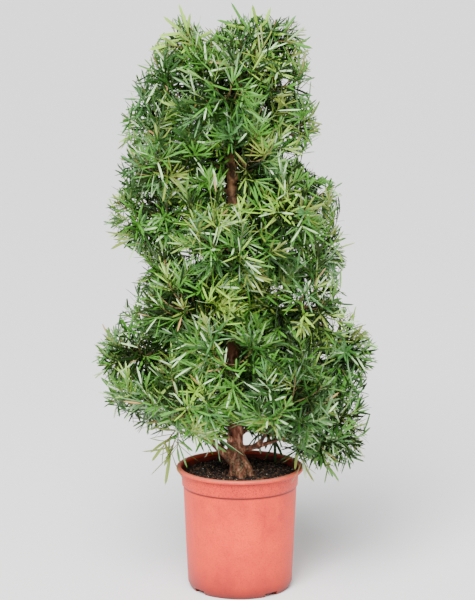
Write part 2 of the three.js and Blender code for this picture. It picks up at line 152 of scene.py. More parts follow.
MASSES = [Mass(*row) for row in (
    ("low_left", 186, 0.162, 0.156, 0.114, 0.084, 0.011, 0.0115, 0.1),
    ("low_right", 354, 0.174, 0.094, 0.107, 0.100, 0.050, 0.0075),
    ("low_front_left", 236, 0.158, 0.160, 0.108, 0.076, 0.066, 0.0055),
    ("low_front_right", 306, 0.168, 0.172, 0.112, 0.088, "low_right", 0.0046),
    ("low_back_right", 52, 0.168, 0.128, 0.112, 0.094, 0.074, 0.0062),
    ("low_back_left", 118, 0.168, 0.138, 0.112, 0.094, 0.096, 0.0062),
    ("lower_right", 2, 0.188, 0.244, 0.114, 0.084, 0.218, 0.0058),
    ("lower_back", 98, 0.160, 0.264, 0.114, 0.088, 0.206, 0.0058),
    ("lower_left", 190, 0.176, 0.246, 0.114, 0.084, 0.226, 0.0058),
    ("lower_front", 266, 0.158, 0.254, 0.110, 0.086, 0.190, 0.0052),
    ("middle_right", 12, 0.142, 0.448, 0.104, 0.084, 0.384, 0.0052),
    ("middle_back", 92, 0.130, 0.402, 0.104, 0.086, 0.344, 0.0052),
    ("middle_left", 170, 0.124, 0.402, 0.100, 0.084, 0.352, 0.0052),
    ("middle_front_left", 232, 0.142, 0.352, 0.106, 0.084, 0.306, 0.0050),
    ("middle_front_right", 326, 0.152, 0.350, 0.106, 0.084, 0.288, 0.0050),
    ("upper_left", 182, 0.155, 0.524, 0.108, 0.088, 0.455, 0.0060),
    ("upper_front", 262, 0.120, 0.472, 0.104, 0.086, 0.426, 0.0046),
    ("upper_front_right", 318, 0.118, 0.540, 0.098, 0.084, 0.480, 0.0048),
    ("upper_right", 18, 0.138, 0.556, 0.100, 0.084, 0.505, 0.0048),
    ("upper_back", 100, 0.120, 0.540, 0.102, 0.086, 0.470, 0.0048),
    ("high_front_left", 206, 0.138, 0.630, 0.098, 0.076, 0.570, 0.0046),
    ("high_left", 172, 0.132, 0.708, 0.098, 0.072, 0.606, 0.0044),
    ("high_right", 6, 0.104, 0.694, 0.098, 0.076, 0.628, 0.0042),
    ("high_front", 286, 0.100, 0.640, 0.092, 0.076, 0.588, 0.0040),
    ("high_back", 90, 0.106, 0.664, 0.098, 0.080, 0.600, 0.0042),
    ("crest_front", 258, 0.084, 0.766, 0.092, 0.076, 0.712),
    ("crest_left", 188, 0.112, 0.798, 0.096, 0.068, 0.722),
    ("crest_right", 356, 0.072, 0.780, 0.092, 0.068, 0.740),
    ("crest_back", 84, 0.084, 0.776, 0.092, 0.076, 0.728),
    ("top_left", 172, 0.090, 0.868, 0.096, 0.064, 0.790),
    ("top", 10, 0.024, 0.872, 0.096, 0.090, 0.835),
)]
TIERS = ("low", "lower", "middle", "upper", "high", "crest", "top")

# Stems, twigs, side shoots and leaves
STEM = {"radius": 0.0030, "tip": 0.0016, "bend": 0.8, "outward": 0.24, "upward": 0.1, "first_leaf": 0.8}
TWIG = Growth(13, 0.0017, 0.0010, (0.06, 0.97), (84, 44), 0.70, 0.75, 0.25)
LOW_TWIG = TWIG._replace(lift=0.35)
SIDE_SHOOT = {
    "radius": 0.0011, "tip": 0.0007, "lengths": (0.010, 0.085), "sag": 0.22, "first_leaf": 0.20,
    "starts": np.linspace(0.2, 0.95, 8),
}
# Side shoots end at points spread through the crown: from depth to depth, with their spacing at each
SHOOT_ENDS = {"tries": 60000, "depths": (0.018, 0.080), "spacings": (0.0205, 0.040), "limb_gap": 0.004}
BOUGH_TWIG = Growth(6, 0.0016, 0.0010, (0.40, 0.96), (70, 54), 0.66, 0.75, 0.25)
TRUNK_TWIG = {
    "count": 72, "radius": 0.0015, "tip": 0.0010, "heights": (0.125, 0.83), "tilt": 24, "room": 0.75,
    "first_leaf": 0.5, "sunk": 0.5, "ahead": 0.06,
}
TWIG_LENGTHS = (0.014, 0.110)
# Rings along and sides round the tubes, and the angles in degrees under which edges are smoothed
TUBES = {"bough": (25, 16), "stem": (9, 6), "twig": (5, 5), "side_shoot": (3, 4)}
SMOOTHED = {"pot": 32, "twigs": 80, "leaves": 17}
LEAF_SPACING = 0.0027
LEAF_COUNTS = (11, 18)
LEAF_SPREAD = (66, 22)
LEAF_ORDER = {"last": 0.99, "crowding": 0.8, "closing": 1.3}
# How much the leaves differ: "last" is how much shorter a shoot's last leaf is
VARIED = {
    "turn": 0.25, "spread": 9, "roll": 0.75, "shoot": (0.78, 1.26), "length": (0.80, 1.15),
    "width": (0.85, 1.1), "curl": (-0.22, 0.10), "last": 0.25,
}
SPRAY = {"first_leaf": 0.35, "bow": 0.12, "leaf_length": 1.35, "leaf_width": 1.60}
# Along a blade: its stations, their widths, the midrib's height and how deep its foot sits in the twig
LEAF_STATIONS = (0.10, 0.48, 0.86)
LEAF_WIDTHS = (0.62, 1.00, 0.76)
LEAF_FOLD = 0.16
LEAF_SUNK = 0.0005
# The lengths that are tried where a leaf doesn't fit, and where on it that is tested
LEAF_SHARES = (1.0, 0.88, 0.76)
LEAF_TESTS = np.array([0.25, 0.5, 0.75, 1.0])

# The crown's outline: hollows rounded out between the masses, a core round the trunk, and ragged edges
HOLLOW = 0.022
CORE = {"low_radius": 0.135, "high_radius": 0.075, "low": 0.085, "high": 0.860}
# The crown's upper edge from left to right: x, greatest height
TOP_LINE = (
    (-0.16, 0.88), (-0.135, 0.922), (-0.1, 0.908), (-0.064, 0.89), (-0.04, 0.9),
    (-0.024, 0.922), (0.055, 0.922), (0.11, 0.91), (0.14, 0.88),
)
RAGGED = {"waves": 7, "longest": 0.100, "shortest": 0.042, "height": 0.032, "seed": 12}
EDGE_MARGIN = -0.002
LIMB_MARGIN = 0.001
# The crown's lower edge as it is seen from the front, from left to right: x, least height
BOTTOM_LINE = (
    (-0.283, 0.162), (-0.234, 0.139), (-0.184, 0.125), (-0.124, 0.1), (-0.085, 0.076),
    (-0.06, 0.066), (-0.03, 0.08), (0.016, 0.096), (0.095, 0.086), (0.12, 0.028),
    (0.207, 0.008), (0.252, 0.038), (0.27, 0.095),
)
BOTTOM_BACK = 0.03
# The crown's sides as they are seen from the front, from its foot up: height, least and greatest x
SIDE_LINES = (
    (0.06, -0.2, 0.256), (0.116, -0.258, 0.258), (0.157, -0.284, 0.254), (0.198, -0.286, 0.25),
    (0.239, -0.292, 0.274), (0.28, -0.286, 0.266), (0.321, -0.254, 0.234), (0.362, -0.222, 0.204),
    (0.402, -0.216, 0.192), (0.416, -0.192, 0.197), (0.432, -0.189, 0.203), (0.446, -0.197, 0.207),
    (0.458, -0.214, 0.208), (0.483, -0.252, 0.214), (0.523, -0.262, 0.194), (0.563, -0.268, 0.192),
    (0.603, -0.254, 0.184), (0.616, -0.252, 0.15), (0.632, -0.248, 0.127), (0.648, -0.245, 0.119),
    (0.662, -0.243, 0.128), (0.682, -0.24, 0.14), (0.721, -0.24, 0.152), (0.76, -0.23, 0.14),
    (0.8, -0.214, 0.134), (0.839, -0.182, 0.132), (0.878, -0.162, 0.124), (0.916, -0.152, 0.12),
)
# Where the sky shows through: x and height, half width and half height
OPENINGS = (
    (0.118, 0.782, 0.015, 0.009), (0.084, 0.794, 0.008, 0.012), (-0.112, 0.46, 0.012, 0.009),
    (-0.092, 0.446, 0.009, 0.011), (0.18, 0.319, 0.013, 0.009), (0.188, 0.305, 0.008, 0.01),
    (0.092, 0.652, 0.014, 0.007), (-0.226, 0.525, 0.008, 0.015), (0.066, 0.384, 0.018, 0.008),
    (0.157, 0.583, 0.008, 0.01),
)
# The share of the leaves that may stray past the outline and into openings, and how far
STRAY_LEAVES = {"share": 0.15, "past": 0.014}
# What shows between the leaves from the front: from x to x and from height to height, at a depth
SIGHTS = (
    ("trunk, foot", -0.026, 0.006, 0.030, 0.101, 0.010),
    ("trunk, middle", -0.030, -0.014, 0.222, 0.272, 0.030),
    ("trunk, upper", -0.031, -0.010, 0.552, 0.604, 0.035),
    ("trunk, under the upper fork", -0.027, -0.016, 0.604, 0.650, 0.035),
    ("right bough", 0.004, 0.066, 0.052, 0.088, -0.010),
)
SPRAYS = [Spray(*row) for row in (
    ("top", 0.6, (0.002, 0.01, 0.906), "mid"),
    ("top", 0.8, (0.028, 0.00, 0.898), "fresh"),
    ("top", 0.6, (0.104, -0.01, 0.872), "mid"),
    ("top_left", 0.7, (-0.118, 0.00, 0.893), "fresh"),
    ("top_left", 0.5, (-0.15, -0.01, 0.868), "fresh"),
    ("upper_left", 0.35, (-0.222, 0.00, 0.486), "olive"),
    ("lower_left", 0.6, (-0.256, -0.01, 0.226), "mid"),
    ("lower_left", 0.8, (-0.24, -0.02, 0.208), "deep"),
    ("lower_right", 0.5, (0.178, -0.03, 0.204), "deep"),
    ("lower_right", 0.8, (0.206, -0.02, 0.212), "mid"),
    ("low_right", 0.95, (0.196, -0.03, 0.186), "mid"),
    ("low_left", 0.02, (-0.16, -0.03, 0.066), "olive"),
    ("low_left", 0.06, (-0.146, -0.03, 0.046), "olive"),
    ("low_left", 0.12, (-0.13, -0.03, 0.062), "mid"),
    ("low_left", 0.0, (-0.066, -0.05, 0.088), "mid"),
    ("low_front_left", 0.05, (-0.046, -0.06, 0.092), "deep"),
    ("low_right", 0.25, (0.124, -0.05, 0.036), "olive"),
    ("low_right", 0.45, (0.178, -0.04, 0.024), "mid"),
    ("low_back_right", 0.1, (0.034, 0.08, 0.06), "deep"),
    ("low_back_right", 0.2, (0.07, 0.07, 0.052), "deep"),
    ("low_back_left", 0.1, (-0.05, 0.09, 0.056), "deep"),
)]
SEED = {"first": 1008, "step": 77, "crumbs": 5, "tones": 31, "shoots": 8}


def colour(red, green, blue):
    """A screen colour, 0 to 255, as the linear colour that a material holds"""
    shares = [value / 255 for value in (red, green, blue)]
    return tuple(s / 12.92 if s <= 0.04045 else ((s + 0.055) / 1.055) ** 2.4 for s in shares)


# The tones of the sprays: name, share of the sprays, colour of the upper face and of the underside
TONES = (
    ("deep", 0.30, colour(32, 72, 14), colour(60, 96, 40)),
    ("blue", 0.15, colour(66, 112, 56), colour(108, 142, 94)),
    ("mid", 0.37, colour(72, 128, 38), colour(102, 142, 66)),
    ("olive", 0.10, colour(114, 132, 50), colour(132, 146, 72)),
    ("fresh", 0.08, colour(144, 184, 68), colour(156, 190, 90)),
    # The dim and shade tones are painted shade, for leaves deep in the crown or in its hollows
    ("dim", 0.0, colour(20, 42, 8), colour(44, 60, 26)),
    ("shade", 0.0, colour(10, 22, 3), colour(22, 30, 10)),
    # The pale tone is painted highlights, dealt to single leaves
    ("pale", 0.0, colour(172, 206, 150), colour(188, 212, 170)),
    ("dry", 0.0, colour(166, 130, 76), colour(182, 152, 102)),
)
TONE = {name: number for number, (name, *_) in enumerate(TONES)}
# Leaves that lie deeper than this in the crown, or in a hollow between the masses, are darker: painted shade
DIM_DEPTH = 0.040
SHADE_DEPTH = 0.056
HOLLOW_DEPTH = -0.006
# Single leaves of other tones (the pale ones are painted highlights), and the sprays whose tone goes by their
# place in slow waves
HIGHLIGHT_LEAF_SHARE = 0.09
DRY_SHARE = 0.008
PLACE_SHARE = 0.5
LEAF_GLOSS = {"outside": 0.42, "inside": 0.1, "duller_under": 0.12}
TONE_WAVES = {"waves": 5, "longest": 0.30, "shortest": 0.12, "seed": 4}

# Camera and studio
CAMERA = {"lens": 127.52, "distance": 4.2166, "height": 1.3609, "tilt": 0.1794, "shift_right": -0.005}
EYE = np.array([0, -CAMERA["distance"], CAMERA["height"]]) - FOOT
AIM = (0, 0, 0.6)
LAMPS = (
    # name, place, size, and which strength it has
    ("key_light", (-0.9, -3.2, 2.7), 1.5, "key"),
    ("fill_light", (2.4, -2.2, 1.5), 1.8, "fill"),
)
FLOOR = {"size": 120, "drop": 0.0004}
WIDE_LIGHT = {"place": (-2, -3, 6), "turn": (42, 0, -12), "angle": 40}


class PotSizes(bpy.types.PropertyGroup):
    """Sizes of the pot and what fills it"""

    sides: IntProperty(name="Sides", description="Facets round the pot", default=128, min=32)
    lip_rounding: FloatProperty(
        name="Lip rounding", description="Radius of the lip's rolled edge", default=0.0036, unit="LENGTH"
    )
    crumbs: IntProperty(name="Crumbs", description="Loose crumbs and chips on top", default=3600, min=0)
    roughness: FloatProperty(
        name="Roughness", description="How matt the plastic is", default=0.5, subtype="FACTOR"
    )


class LeafSizes(bpy.types.PropertyGroup):
    """Sizes of the leaves"""

    length: FloatProperty(name="Length", description="A full leaf's length", default=0.043, unit="LENGTH")
    width: FloatProperty(name="Width", description="A full leaf's width", default=0.0042, unit="LENGTH")
    roughness: FloatProperty(
        name="Roughness", description="How dull the leaf's wax is", default=0.36, subtype="FACTOR"
    )


class Colours(bpy.types.PropertyGroup):
    """Colours of the pot, the mix and the bark"""

    pot: FloatVectorProperty(
        name="Pot", description="The pot's plastic", subtype="COLOR", default=colour(222, 43, 0)
    )
    soil: FloatVectorProperty(
        name="Potting mix", description="Moist peat", subtype="COLOR", default=colour(22, 16, 13)
    )
    bark: FloatVectorProperty(
        name="Bark", description="The trunk and boughs", subtype="COLOR", default=colour(88, 44, 28)
    )


class Studio(bpy.types.PropertyGroup):
    """The light and the floor"""

    sky: FloatProperty(name="Soft light", description="Strength of the light from all sides", default=0.6)
    key: FloatProperty(name="Key light", description="Power of the large lamp", default=150, subtype="POWER")
    wide: FloatProperty(name="Wide light", description="Strength of the even light", default=5.5)
    fill: FloatProperty(name="Fill light", description="The second lamp's power", default=20, subtype="POWER")


# Numbers and vectors


def lerp(first, last, share):
    return first + (last - first) * share


def unit(vector):
    return vector / np.linalg.norm(vector, axis=-1, keepdims=True)


def seeded_random(seed):
    """Numbers from 0 to 1 that are the same in every run"""
    state = seed
    while True:
        state = (state * 1664525 + 1013904223) % 4294967296
        yield state / 4294967296


def turned_round(vector, axis, angle):
    """A vector turned round a unit axis"""
    across = np.cross(axis, vector)
    along = axis * (axis @ vector) * (1 - math.cos(angle))
    return vector * math.cos(angle) + across * math.sin(angle) + along


def level(axis):
    """A direction that is well away from an axis, or from several"""
    return np.where(np.abs(axis[..., 2:]) < 0.9, UP, RIGHT)


def branching(axis, degrees, turn):
    """The direction that leaves an axis at an angle, turned round it"""
    sideways = turned_round(unit(np.cross(level(axis), axis)), axis, turn)
    angle = math.radians(degrees)
    return sideways * math.sin(angle) + axis * math.cos(angle)


class Line:
    """A smooth line, read at a share of its length or at several"""

    def __init__(self, points):
        self.points = np.asarray(points)
        steps = np.linalg.norm(np.diff(self.points, axis=0), axis=1)
        self.travel = np.concatenate([[0], np.cumsum(steps)])
        self.length = self.travel[-1]

    def at(self, share):
        travel = share * self.length
        return np.stack([np.interp(travel, self.travel, column) for column in self.points.T], axis=-1)

    def heading(self, share):
        reach = 0.02
        return unit(self.at(np.minimum(1, share + reach)) - self.at(np.maximum(0, share - reach)))


def bow_line(start, bend, end, steps=48):
    """A quadratic curve that starts towards its bend"""
    share = np.linspace(0, 1, steps + 1)[:, None]
    return Line(start * (1 - share) ** 2 + 2 * bend * share * (1 - share) + end * share**2)


# The trunk's line


def trunk_span(height):
    """The station under a height, and how far the height lies towards the next one"""
    heights = [station[0] for station in TRUNK]
    i = int(np.searchsorted(heights, max(0.0, height), side="right")) - 1
    i = min(i, len(TRUNK) - 2)
    return i, (height - heights[i]) / (heights[i + 1] - heights[i])


def trunk_radius(height):
    i, share = trunk_span(height)
    return lerp(TRUNK[i][3], TRUNK[i + 1][3], min(max(share, 0), 1))


def trunk_point(height):
    """The trunk's axis at a height, on the centripetal curve through its stations"""
    stations = np.array([(x, y, z) for z, x, y, _ in TRUNK])
    i, share = trunk_span(height)
    p0 = stations[i - 1] if i else 2 * stations[0] - stations[1]
    p1, p2 = stations[i], stations[i + 1]
    p3 = stations[i + 2] if i + 2 < len(stations) else 2 * p2 - p1
    d0, d1, d2 = (math.sqrt(np.linalg.norm(b - a)) for a, b in ((p0, p1), (p1, p2), (p2, p3)))
    start_slope = ((p1 - p0) / d0 - (p2 - p0) / (d0 + d1) + (p2 - p1) / d1) * d1
    end_slope = ((p2 - p1) / d1 - (p3 - p1) / (d1 + d2) + (p3 - p2) / d2) * d1
    square = -3 * p1 + 3 * p2 - 2 * start_slope - end_slope
    cube = 2 * p1 - 2 * p2 + start_slope + end_slope
    point = p1 + start_slope * share + square * share**2 + cube * share**3
    return np.array([point[0], point[1], height])


# The spaces of the masses


def mass_centre(mass):
    angle = math.radians(mass.angle)
    middle = trunk_point(min(mass.height, TRUNK_TOP))
    x, y = middle[:2] + mass.reach * np.array([math.cos(angle), math.sin(angle)])
    return np.array([x, y, mass.height])


CENTRES = np.array([mass_centre(mass) for mass in MASSES])
EGGS = np.array([(mass.wide, mass.wide, mass.tall) for mass in MASSES])


def egg_depths(points):
    """How far points lie inside each mass's egg"""
    offsets = (points[..., None, :] - CENTRES) / EGGS
    return (1 - np.linalg.norm(offsets, axis=-1)) * EGGS[:, 2]


@cache
def plane_waves(seed, count, longest, shortest):
    """Plane waves in all directions, as vectors and phases"""
    random = np.random.default_rng(seed)
    vectors = unit(random.normal(size=(count, 3))) * math.tau / np.linspace(longest, shortest, count)[:, None]
    return vectors, random.random(count) * math.tau


def wave_height(points, rule):
    """The mean height, from -1 to 1, of a rule's waves at points"""
    vectors, phases = plane_waves(rule["seed"], rule["waves"], rule["longest"], rule["shortest"])
    return np.sin(points @ vectors.T + phases).mean(axis=-1)


@cache
def trunk_course(steps):
    """The trunk's axis as even steps of height"""
    heights = np.linspace(0, TRUNK_TOP, steps)
    return heights, np.array([trunk_point(height) for height in heights])


def off_trunk(points, steps):
    """How far points lie from the trunk's axis at their own height"""
    heights, course = trunk_course(steps)
    return np.hypot(*(points[..., k] - np.interp(points[..., 2], heights, course[:, k]) for k in range(2)))


def crown_depth(points):
    """How far points lie inside the crown as a whole"""
    ends = (CORE["low"], CORE["high"])
    radii = np.interp(points[..., 2], ends, (CORE["low_radius"], CORE["high_radius"]))
    core = np.minimum(radii - off_trunk(points, 120), points[..., 2] - ends[0])
    core = np.minimum(core, ends[1] - points[..., 2])
    depths = np.concatenate([egg_depths(points), core[..., None]], axis=-1)
    whole = HOLLOW * np.log(np.exp(depths / HOLLOW).sum(axis=-1))
    ragged = RAGGED["height"] * wave_height(points, RAGGED)
    under_top = np.interp(points[..., 0], *zip(*TOP_LINE)) - points[..., 2]
    return np.minimum(whole + ragged, under_top + ragged / 2)


def border_depth(index, points):
    """How far points lie on a mass's own side of the borders to its neighbours"""
    across = np.delete(CENTRES, index, axis=0) - CENTRES[index]
    gaps = np.linalg.norm(across, axis=1)
    return (gaps / 2 - (points - CENTRES[index]) @ across.T / gaps).min(axis=-1)


# Boughs


class Shoot(NamedTuple):
    """A bough, twig or shoot: its line and radii, and the share of its length where its leaves start"""

    line: Line
    root: float
    tip: float
    first_leaf: float = 1.0


@cache
def bough(name):
    """A bough on its way from the trunk, or from the bough that it forks from, to where it enters its mass"""
    index = next(i for i, mass in enumerate(MASSES) if mass.name == name)
    mass, centre = MASSES[index], CENTRES[index]
    if isinstance(mass.start, str):
        start = bough(mass.start).line.at(BOUGH["fork_share"])
    else:
        start = trunk_point(mass.start)
    share, farthest, stride = 0.3, 0.9, 0.05
    while share < farthest:
        end = lerp(start, centre, share)
        if min(egg_depths(end)[index], border_depth(index, end)) >= BOUGH["entry_depth"]:
            break
        share += stride
    end = lerp(start, centre, share)
    bend = (start + end) / 2 + UP * mass.bow * np.linalg.norm(end - start)
    return Shoot(bow_line(start, bend, end), mass.root, BOUGH["tip"])


@cache
def limb_pieces():
    """The trunk and boughs as short straight pieces: starts, ends and radii"""
    course = [trunk_point(z) for z in np.linspace(0, TRUNK_TOP, 25)]
    rows = [(low, high, trunk_radius(low[2])) for low, high in zip(course, course[1:])]
    for mass in MASSES:
        if mass.root:
            limb = bough(mass.name)
            stations = [limb.line.at(share) for share in np.linspace(0, 1, 5)]
            rows += [(stations[i], stations[i + 1], lerp(limb.root, limb.tip, i / 4)) for i in range(4)]
    return [np.array(column) for column in zip(*rows)]


def limb_gap(points):
    """How far points lie from the bark of the nearest limb"""
    starts, ends, radii = limb_pieces()
    spans = ends - starts
    offsets = points[..., None, :] - starts
    shares = np.clip((offsets * spans).sum(-1) / (spans**2).sum(-1), 0, 1)
    return (np.linalg.norm(offsets - shares[..., None] * spans, axis=-1) - radii).min(axis=-1)


def seen_at(points, depth):
    """Where points are seen from the front against a plane at a depth: how far across and how high"""
    shares = (depth - EYE[1]) / (points[..., 1] - EYE[1])
    seen = EYE + (points - EYE) * shares[..., None]
    return seen[..., 0], seen[..., 2]


def outline_depth(points):
    """How far points lie inside the crown's sides and lower edge, as seen from the front"""
    ragged = RAGGED["height"] * wave_height(points, RAGGED)
    across, height = seen_at(points, 0)
    heights, lefts, rights = zip(*SIDE_LINES)
    left, right = (np.interp(height, heights, edge) for edge in (lefts, rights))
    depth = np.minimum(across - left, right - across) + ragged / 2
    across, height = seen_at(points, -BOTTOM_BACK)
    above = height - np.interp(across, *zip(*BOTTOM_LINE)) - ragged
    return np.where(points[..., 1] < BOTTOM_BACK, np.minimum(depth, above), depth)


def in_opening(points):
    """Whether points lie where the sky shows through, as seen from the front"""
    across, height = seen_at(points, 0)
    found = np.zeros(across.shape, bool)
    for x, z, half_width, half_height in OPENINGS:
        found |= ((across - x) / half_width) ** 2 + ((height - z) / half_height) ** 2 < 1
    return found


def out_of_place(points, slack=0):
    """Whether points leave the crown's outline, or hide what shows between the leaves"""
    found = outline_depth(points) < -slack
    for _, left, right, low, high, depth in SIGHTS:
        x, z = seen_at(points, depth)
        found |= (points[..., 1] < depth) & (x > left) & (x < right) & (z > low) & (z < high)
    return found


def line_in_place(line, steps=6):
    """Whether a shoot stays in place beyond its foot"""
    foot = 0.3
    return not out_of_place(line.at(np.linspace(foot, 1, steps))).any()


# Stems, twigs and side shoots


def room_ahead(index, start, direction):
    """How far it is to the edge of a mass's space, or to the first limb in the way"""
    stride, most = 0.004, 0.2
    travel = np.arange(1, int(most / stride) + 1) * stride
    points = start + travel[:, None] * direction
    free = (crown_depth(points) > 0) & (border_depth(index, points) > 0)
    free &= (travel <= 2 * stride) | (limb_gap(points) > LIMB_MARGIN)
    return travel[-1] if free.all() else travel[int(np.argmin(free))] - stride


def lifted_line(start, direction, length, lift):
    """A shoot that leaves in one direction and turns a little up, or down where lift is negative"""
    end = start + unit(direction + UP * lift) * length
    return bow_line(start, start + direction * length / 2, end, steps=8)


def side_growth(index, parent, rule, turn, random):
    """Twigs on a stem or bough, wound round it by the golden angle"""
    grown = []
    for i in range(rule.count):
        order = i / (rule.count - 1)
        share = lerp(*rule.shares, order)
        start = parent.at(share)
        direction = branching(parent.heading(share), lerp(*rule.spread, order), turn + i * GOLDEN_ANGLE)
        astray = np.array([next(random), next(random), next(random)]) - 0.5
        direction = unit(direction + rule.stray * 2 * astray)
        length = min(rule.room * room_ahead(index, start, direction), TWIG_LENGTHS[1])
        line = lifted_line(start, direction, max(length, TWIG_LENGTHS[0]), rule.lift)
        if length > TWIG_LENGTHS[0] and line_in_place(line):
            grown.append(Shoot(line, rule.radius, rule.tip, rule.first_leaf))
    return grown


@cache
def grow_mass(index):
    """One mass: its stem, and the twigs that grow on it and its bough"""
    mass, centre = MASSES[index], CENTRES[index]
    random = seeded_random(SEED["first"] + SEED["step"] * index)
    limb = bough(mass.name).line if mass.root else None
    start = limb.at(1) if limb else trunk_point(mass.start)
    heading = limb.heading(1) if limb else unit(centre - start)
    outward = unit((centre - trunk_point(min(mass.height, TRUNK_TOP))) * np.array([1, 1, 0]))
    end = centre + outward * STEM["outward"] * mass.wide + UP * STEM["upward"] * mass.tall
    bend = start + heading * np.linalg.norm(centre - start) * STEM["bend"]
    stem = bow_line(start, bend, end)
    twigs = []
    for parent, rule in ((stem, LOW_TWIG if mass.name.startswith("low_") else TWIG), (limb, BOUGH_TWIG)):
        if parent:
            twigs += side_growth(index, parent, rule, next(random) * math.tau, random)
    return [Shoot(stem, STEM["radius"], STEM["tip"], STEM["first_leaf"])] + twigs


@cache
def grow_trunk_twigs():
    """Short leafy twigs that wind up the trunk itself, each with the number of the mass it grows in"""
    grown = []
    tilt = math.radians(TRUNK_TWIG["tilt"])
    for i in range(TRUNK_TWIG["count"]):
        height = lerp(*TRUNK_TWIG["heights"], i / (TRUNK_TWIG["count"] - 1))
        turn = i * GOLDEN_ANGLE
        across, up = math.cos(tilt), math.sin(tilt)
        direction = np.array([math.cos(turn) * across, math.sin(turn) * across, up])
        start = trunk_point(height) + direction * trunk_radius(height) * TRUNK_TWIG["sunk"]
        ahead = start + direction * TRUNK_TWIG["ahead"]
        owner = int(np.argmin(np.linalg.norm(CENTRES - ahead, axis=1)))
        length = min(TRUNK_TWIG["room"] * room_on_trunk(start, direction), TWIG_LENGTHS[1])
        if length > TWIG_LENGTHS[0]:
            line = lifted_line(start, direction, length, TWIG.lift / 2)
            if line_in_place(line):
                twig = Shoot(line, TRUNK_TWIG["radius"], TRUNK_TWIG["tip"], TRUNK_TWIG["first_leaf"])
                grown.append((owner, twig))
    return grown


def room_on_trunk(start, direction):
    """How far it is from the trunk's axis to the edge of the crown, or to the first bough in the way"""
    travel = np.arange(4, 40) * 0.004
    points = start + travel[:, None] * direction
    free = (crown_depth(points) > 0) & (limb_gap(points) > LIMB_MARGIN)
    return travel[-1] if free.all() else travel[int(np.argmin(free))]


def of_mass(grown, index):
    return [shoot for owner, shoot in grown if owner == index]


def twigs_of(index):
    return grow_mass(index) + of_mass(grow_trunk_twigs(), index)


def shoot_ends(taken):
    """Points spread through the crown, closer together near its edge than inside, and clear of taken ones"""
    random = np.random.default_rng(SEED["shoots"])
    low, high = (CENTRES - EGGS).min(axis=0), (CENTRES + EGGS).max(axis=0)
    points = low + random.random((SHOOT_ENDS["tries"], 3)) * (high - low)
    depths = crown_depth(points)
    nearest, farthest = SHOOT_ENDS["depths"]
    wanted = (depths > nearest) & (depths < farthest) & ~out_of_place(points)
    points, depths = points[wanted], depths[wanted]
    clear = limb_gap(points) > SHOOT_ENDS["limb_gap"]
    spacings = np.interp(depths[clear], SHOOT_ENDS["depths"], SHOOT_ENDS["spacings"])
    kept = np.concatenate([taken, np.zeros_like(points)])
    count = len(taken)
    for point, spacing in zip(points[clear], spacings):
        if ((kept[:count] - point) ** 2).sum(axis=1).min() > spacing**2:
            kept[count] = point
            count += 1
    return kept[len(taken) : count]


@cache
def grow_side_shoots():
    """Side shoots from the nearest twigs to points spread through the crown, each with its mass's number"""
    twigs = [(index, twig) for index in range(len(MASSES)) for twig in twigs_of(index)]
    shares = SIDE_SHOOT["starts"]
    owners = np.repeat([index for index, _ in twigs], len(shares))
    starts = np.concatenate([twig.line.at(shares) for _, twig in twigs])
    headings = np.concatenate([twig.line.heading(shares) for _, twig in twigs])
    shortest, longest = SIDE_SHOOT["lengths"]
    grown = []
    for end in shoot_ends(np.array([twig.line.at(1.0) for _, twig in twigs])):
        offsets = end - starts
        lengths = np.linalg.norm(offsets, axis=1)
        turned = 1 - (offsets * headings).sum(axis=1) / lengths
        best = int(np.argmin(lengths * (1 + turned)))
        length = lengths[best]
        if shortest < length < longest:
            bend = starts[best] + unit(headings[best] + offsets[best] / length) * length / 2
            line = bow_line(starts[best], bend - UP * SIDE_SHOOT["sag"] * length, end, steps=8)
            if line_in_place(line, 5):
                shoot = Shoot(line, SIDE_SHOOT["radius"], SIDE_SHOOT["tip"], SIDE_SHOOT["first_leaf"])
                grown.append((int(owners[best]), shoot))
    return grown


def grow_sprays(index):
    """The named sprays of one mass, with their tones"""
    stem = grow_mass(index)[0].line
    grown = []
    for spray in SPRAYS:
        if spray.mass == MASSES[index].name:
            start = stem.at(spray.share)
            end = np.array(spray.end)
            bend = (start + end) / 2 + UP * SPRAY["bow"] * np.linalg.norm(end - start)
            line = bow_line(start, bend, end, steps=8)
            grown.append((Shoot(line, TWIG.radius, TWIG.tip, SPRAY["first_leaf"]), TONE[spray.tone]))
    return grown


# Leaves


class Leaves(NamedTuple):
    """Leaves as arrays, one row a leaf"""

    roots: np.ndarray
    directions: np.ndarray
    faces: np.ndarray
    lengths: np.ndarray
    widths: np.ndarray
    curls: np.ndarray
    tones: np.ndarray


def all_leaves(lots):
    return Leaves(*(np.concatenate(columns) for columns in zip(*lots)))


def pick_tone(value):
    """The tone that a number from 0 to 1 falls on, by the tones' shares"""
    for i, (_, share, _, _) in enumerate(TONES):
        value -= share
        if value < 0:
            return i
    return TONE["mid"]


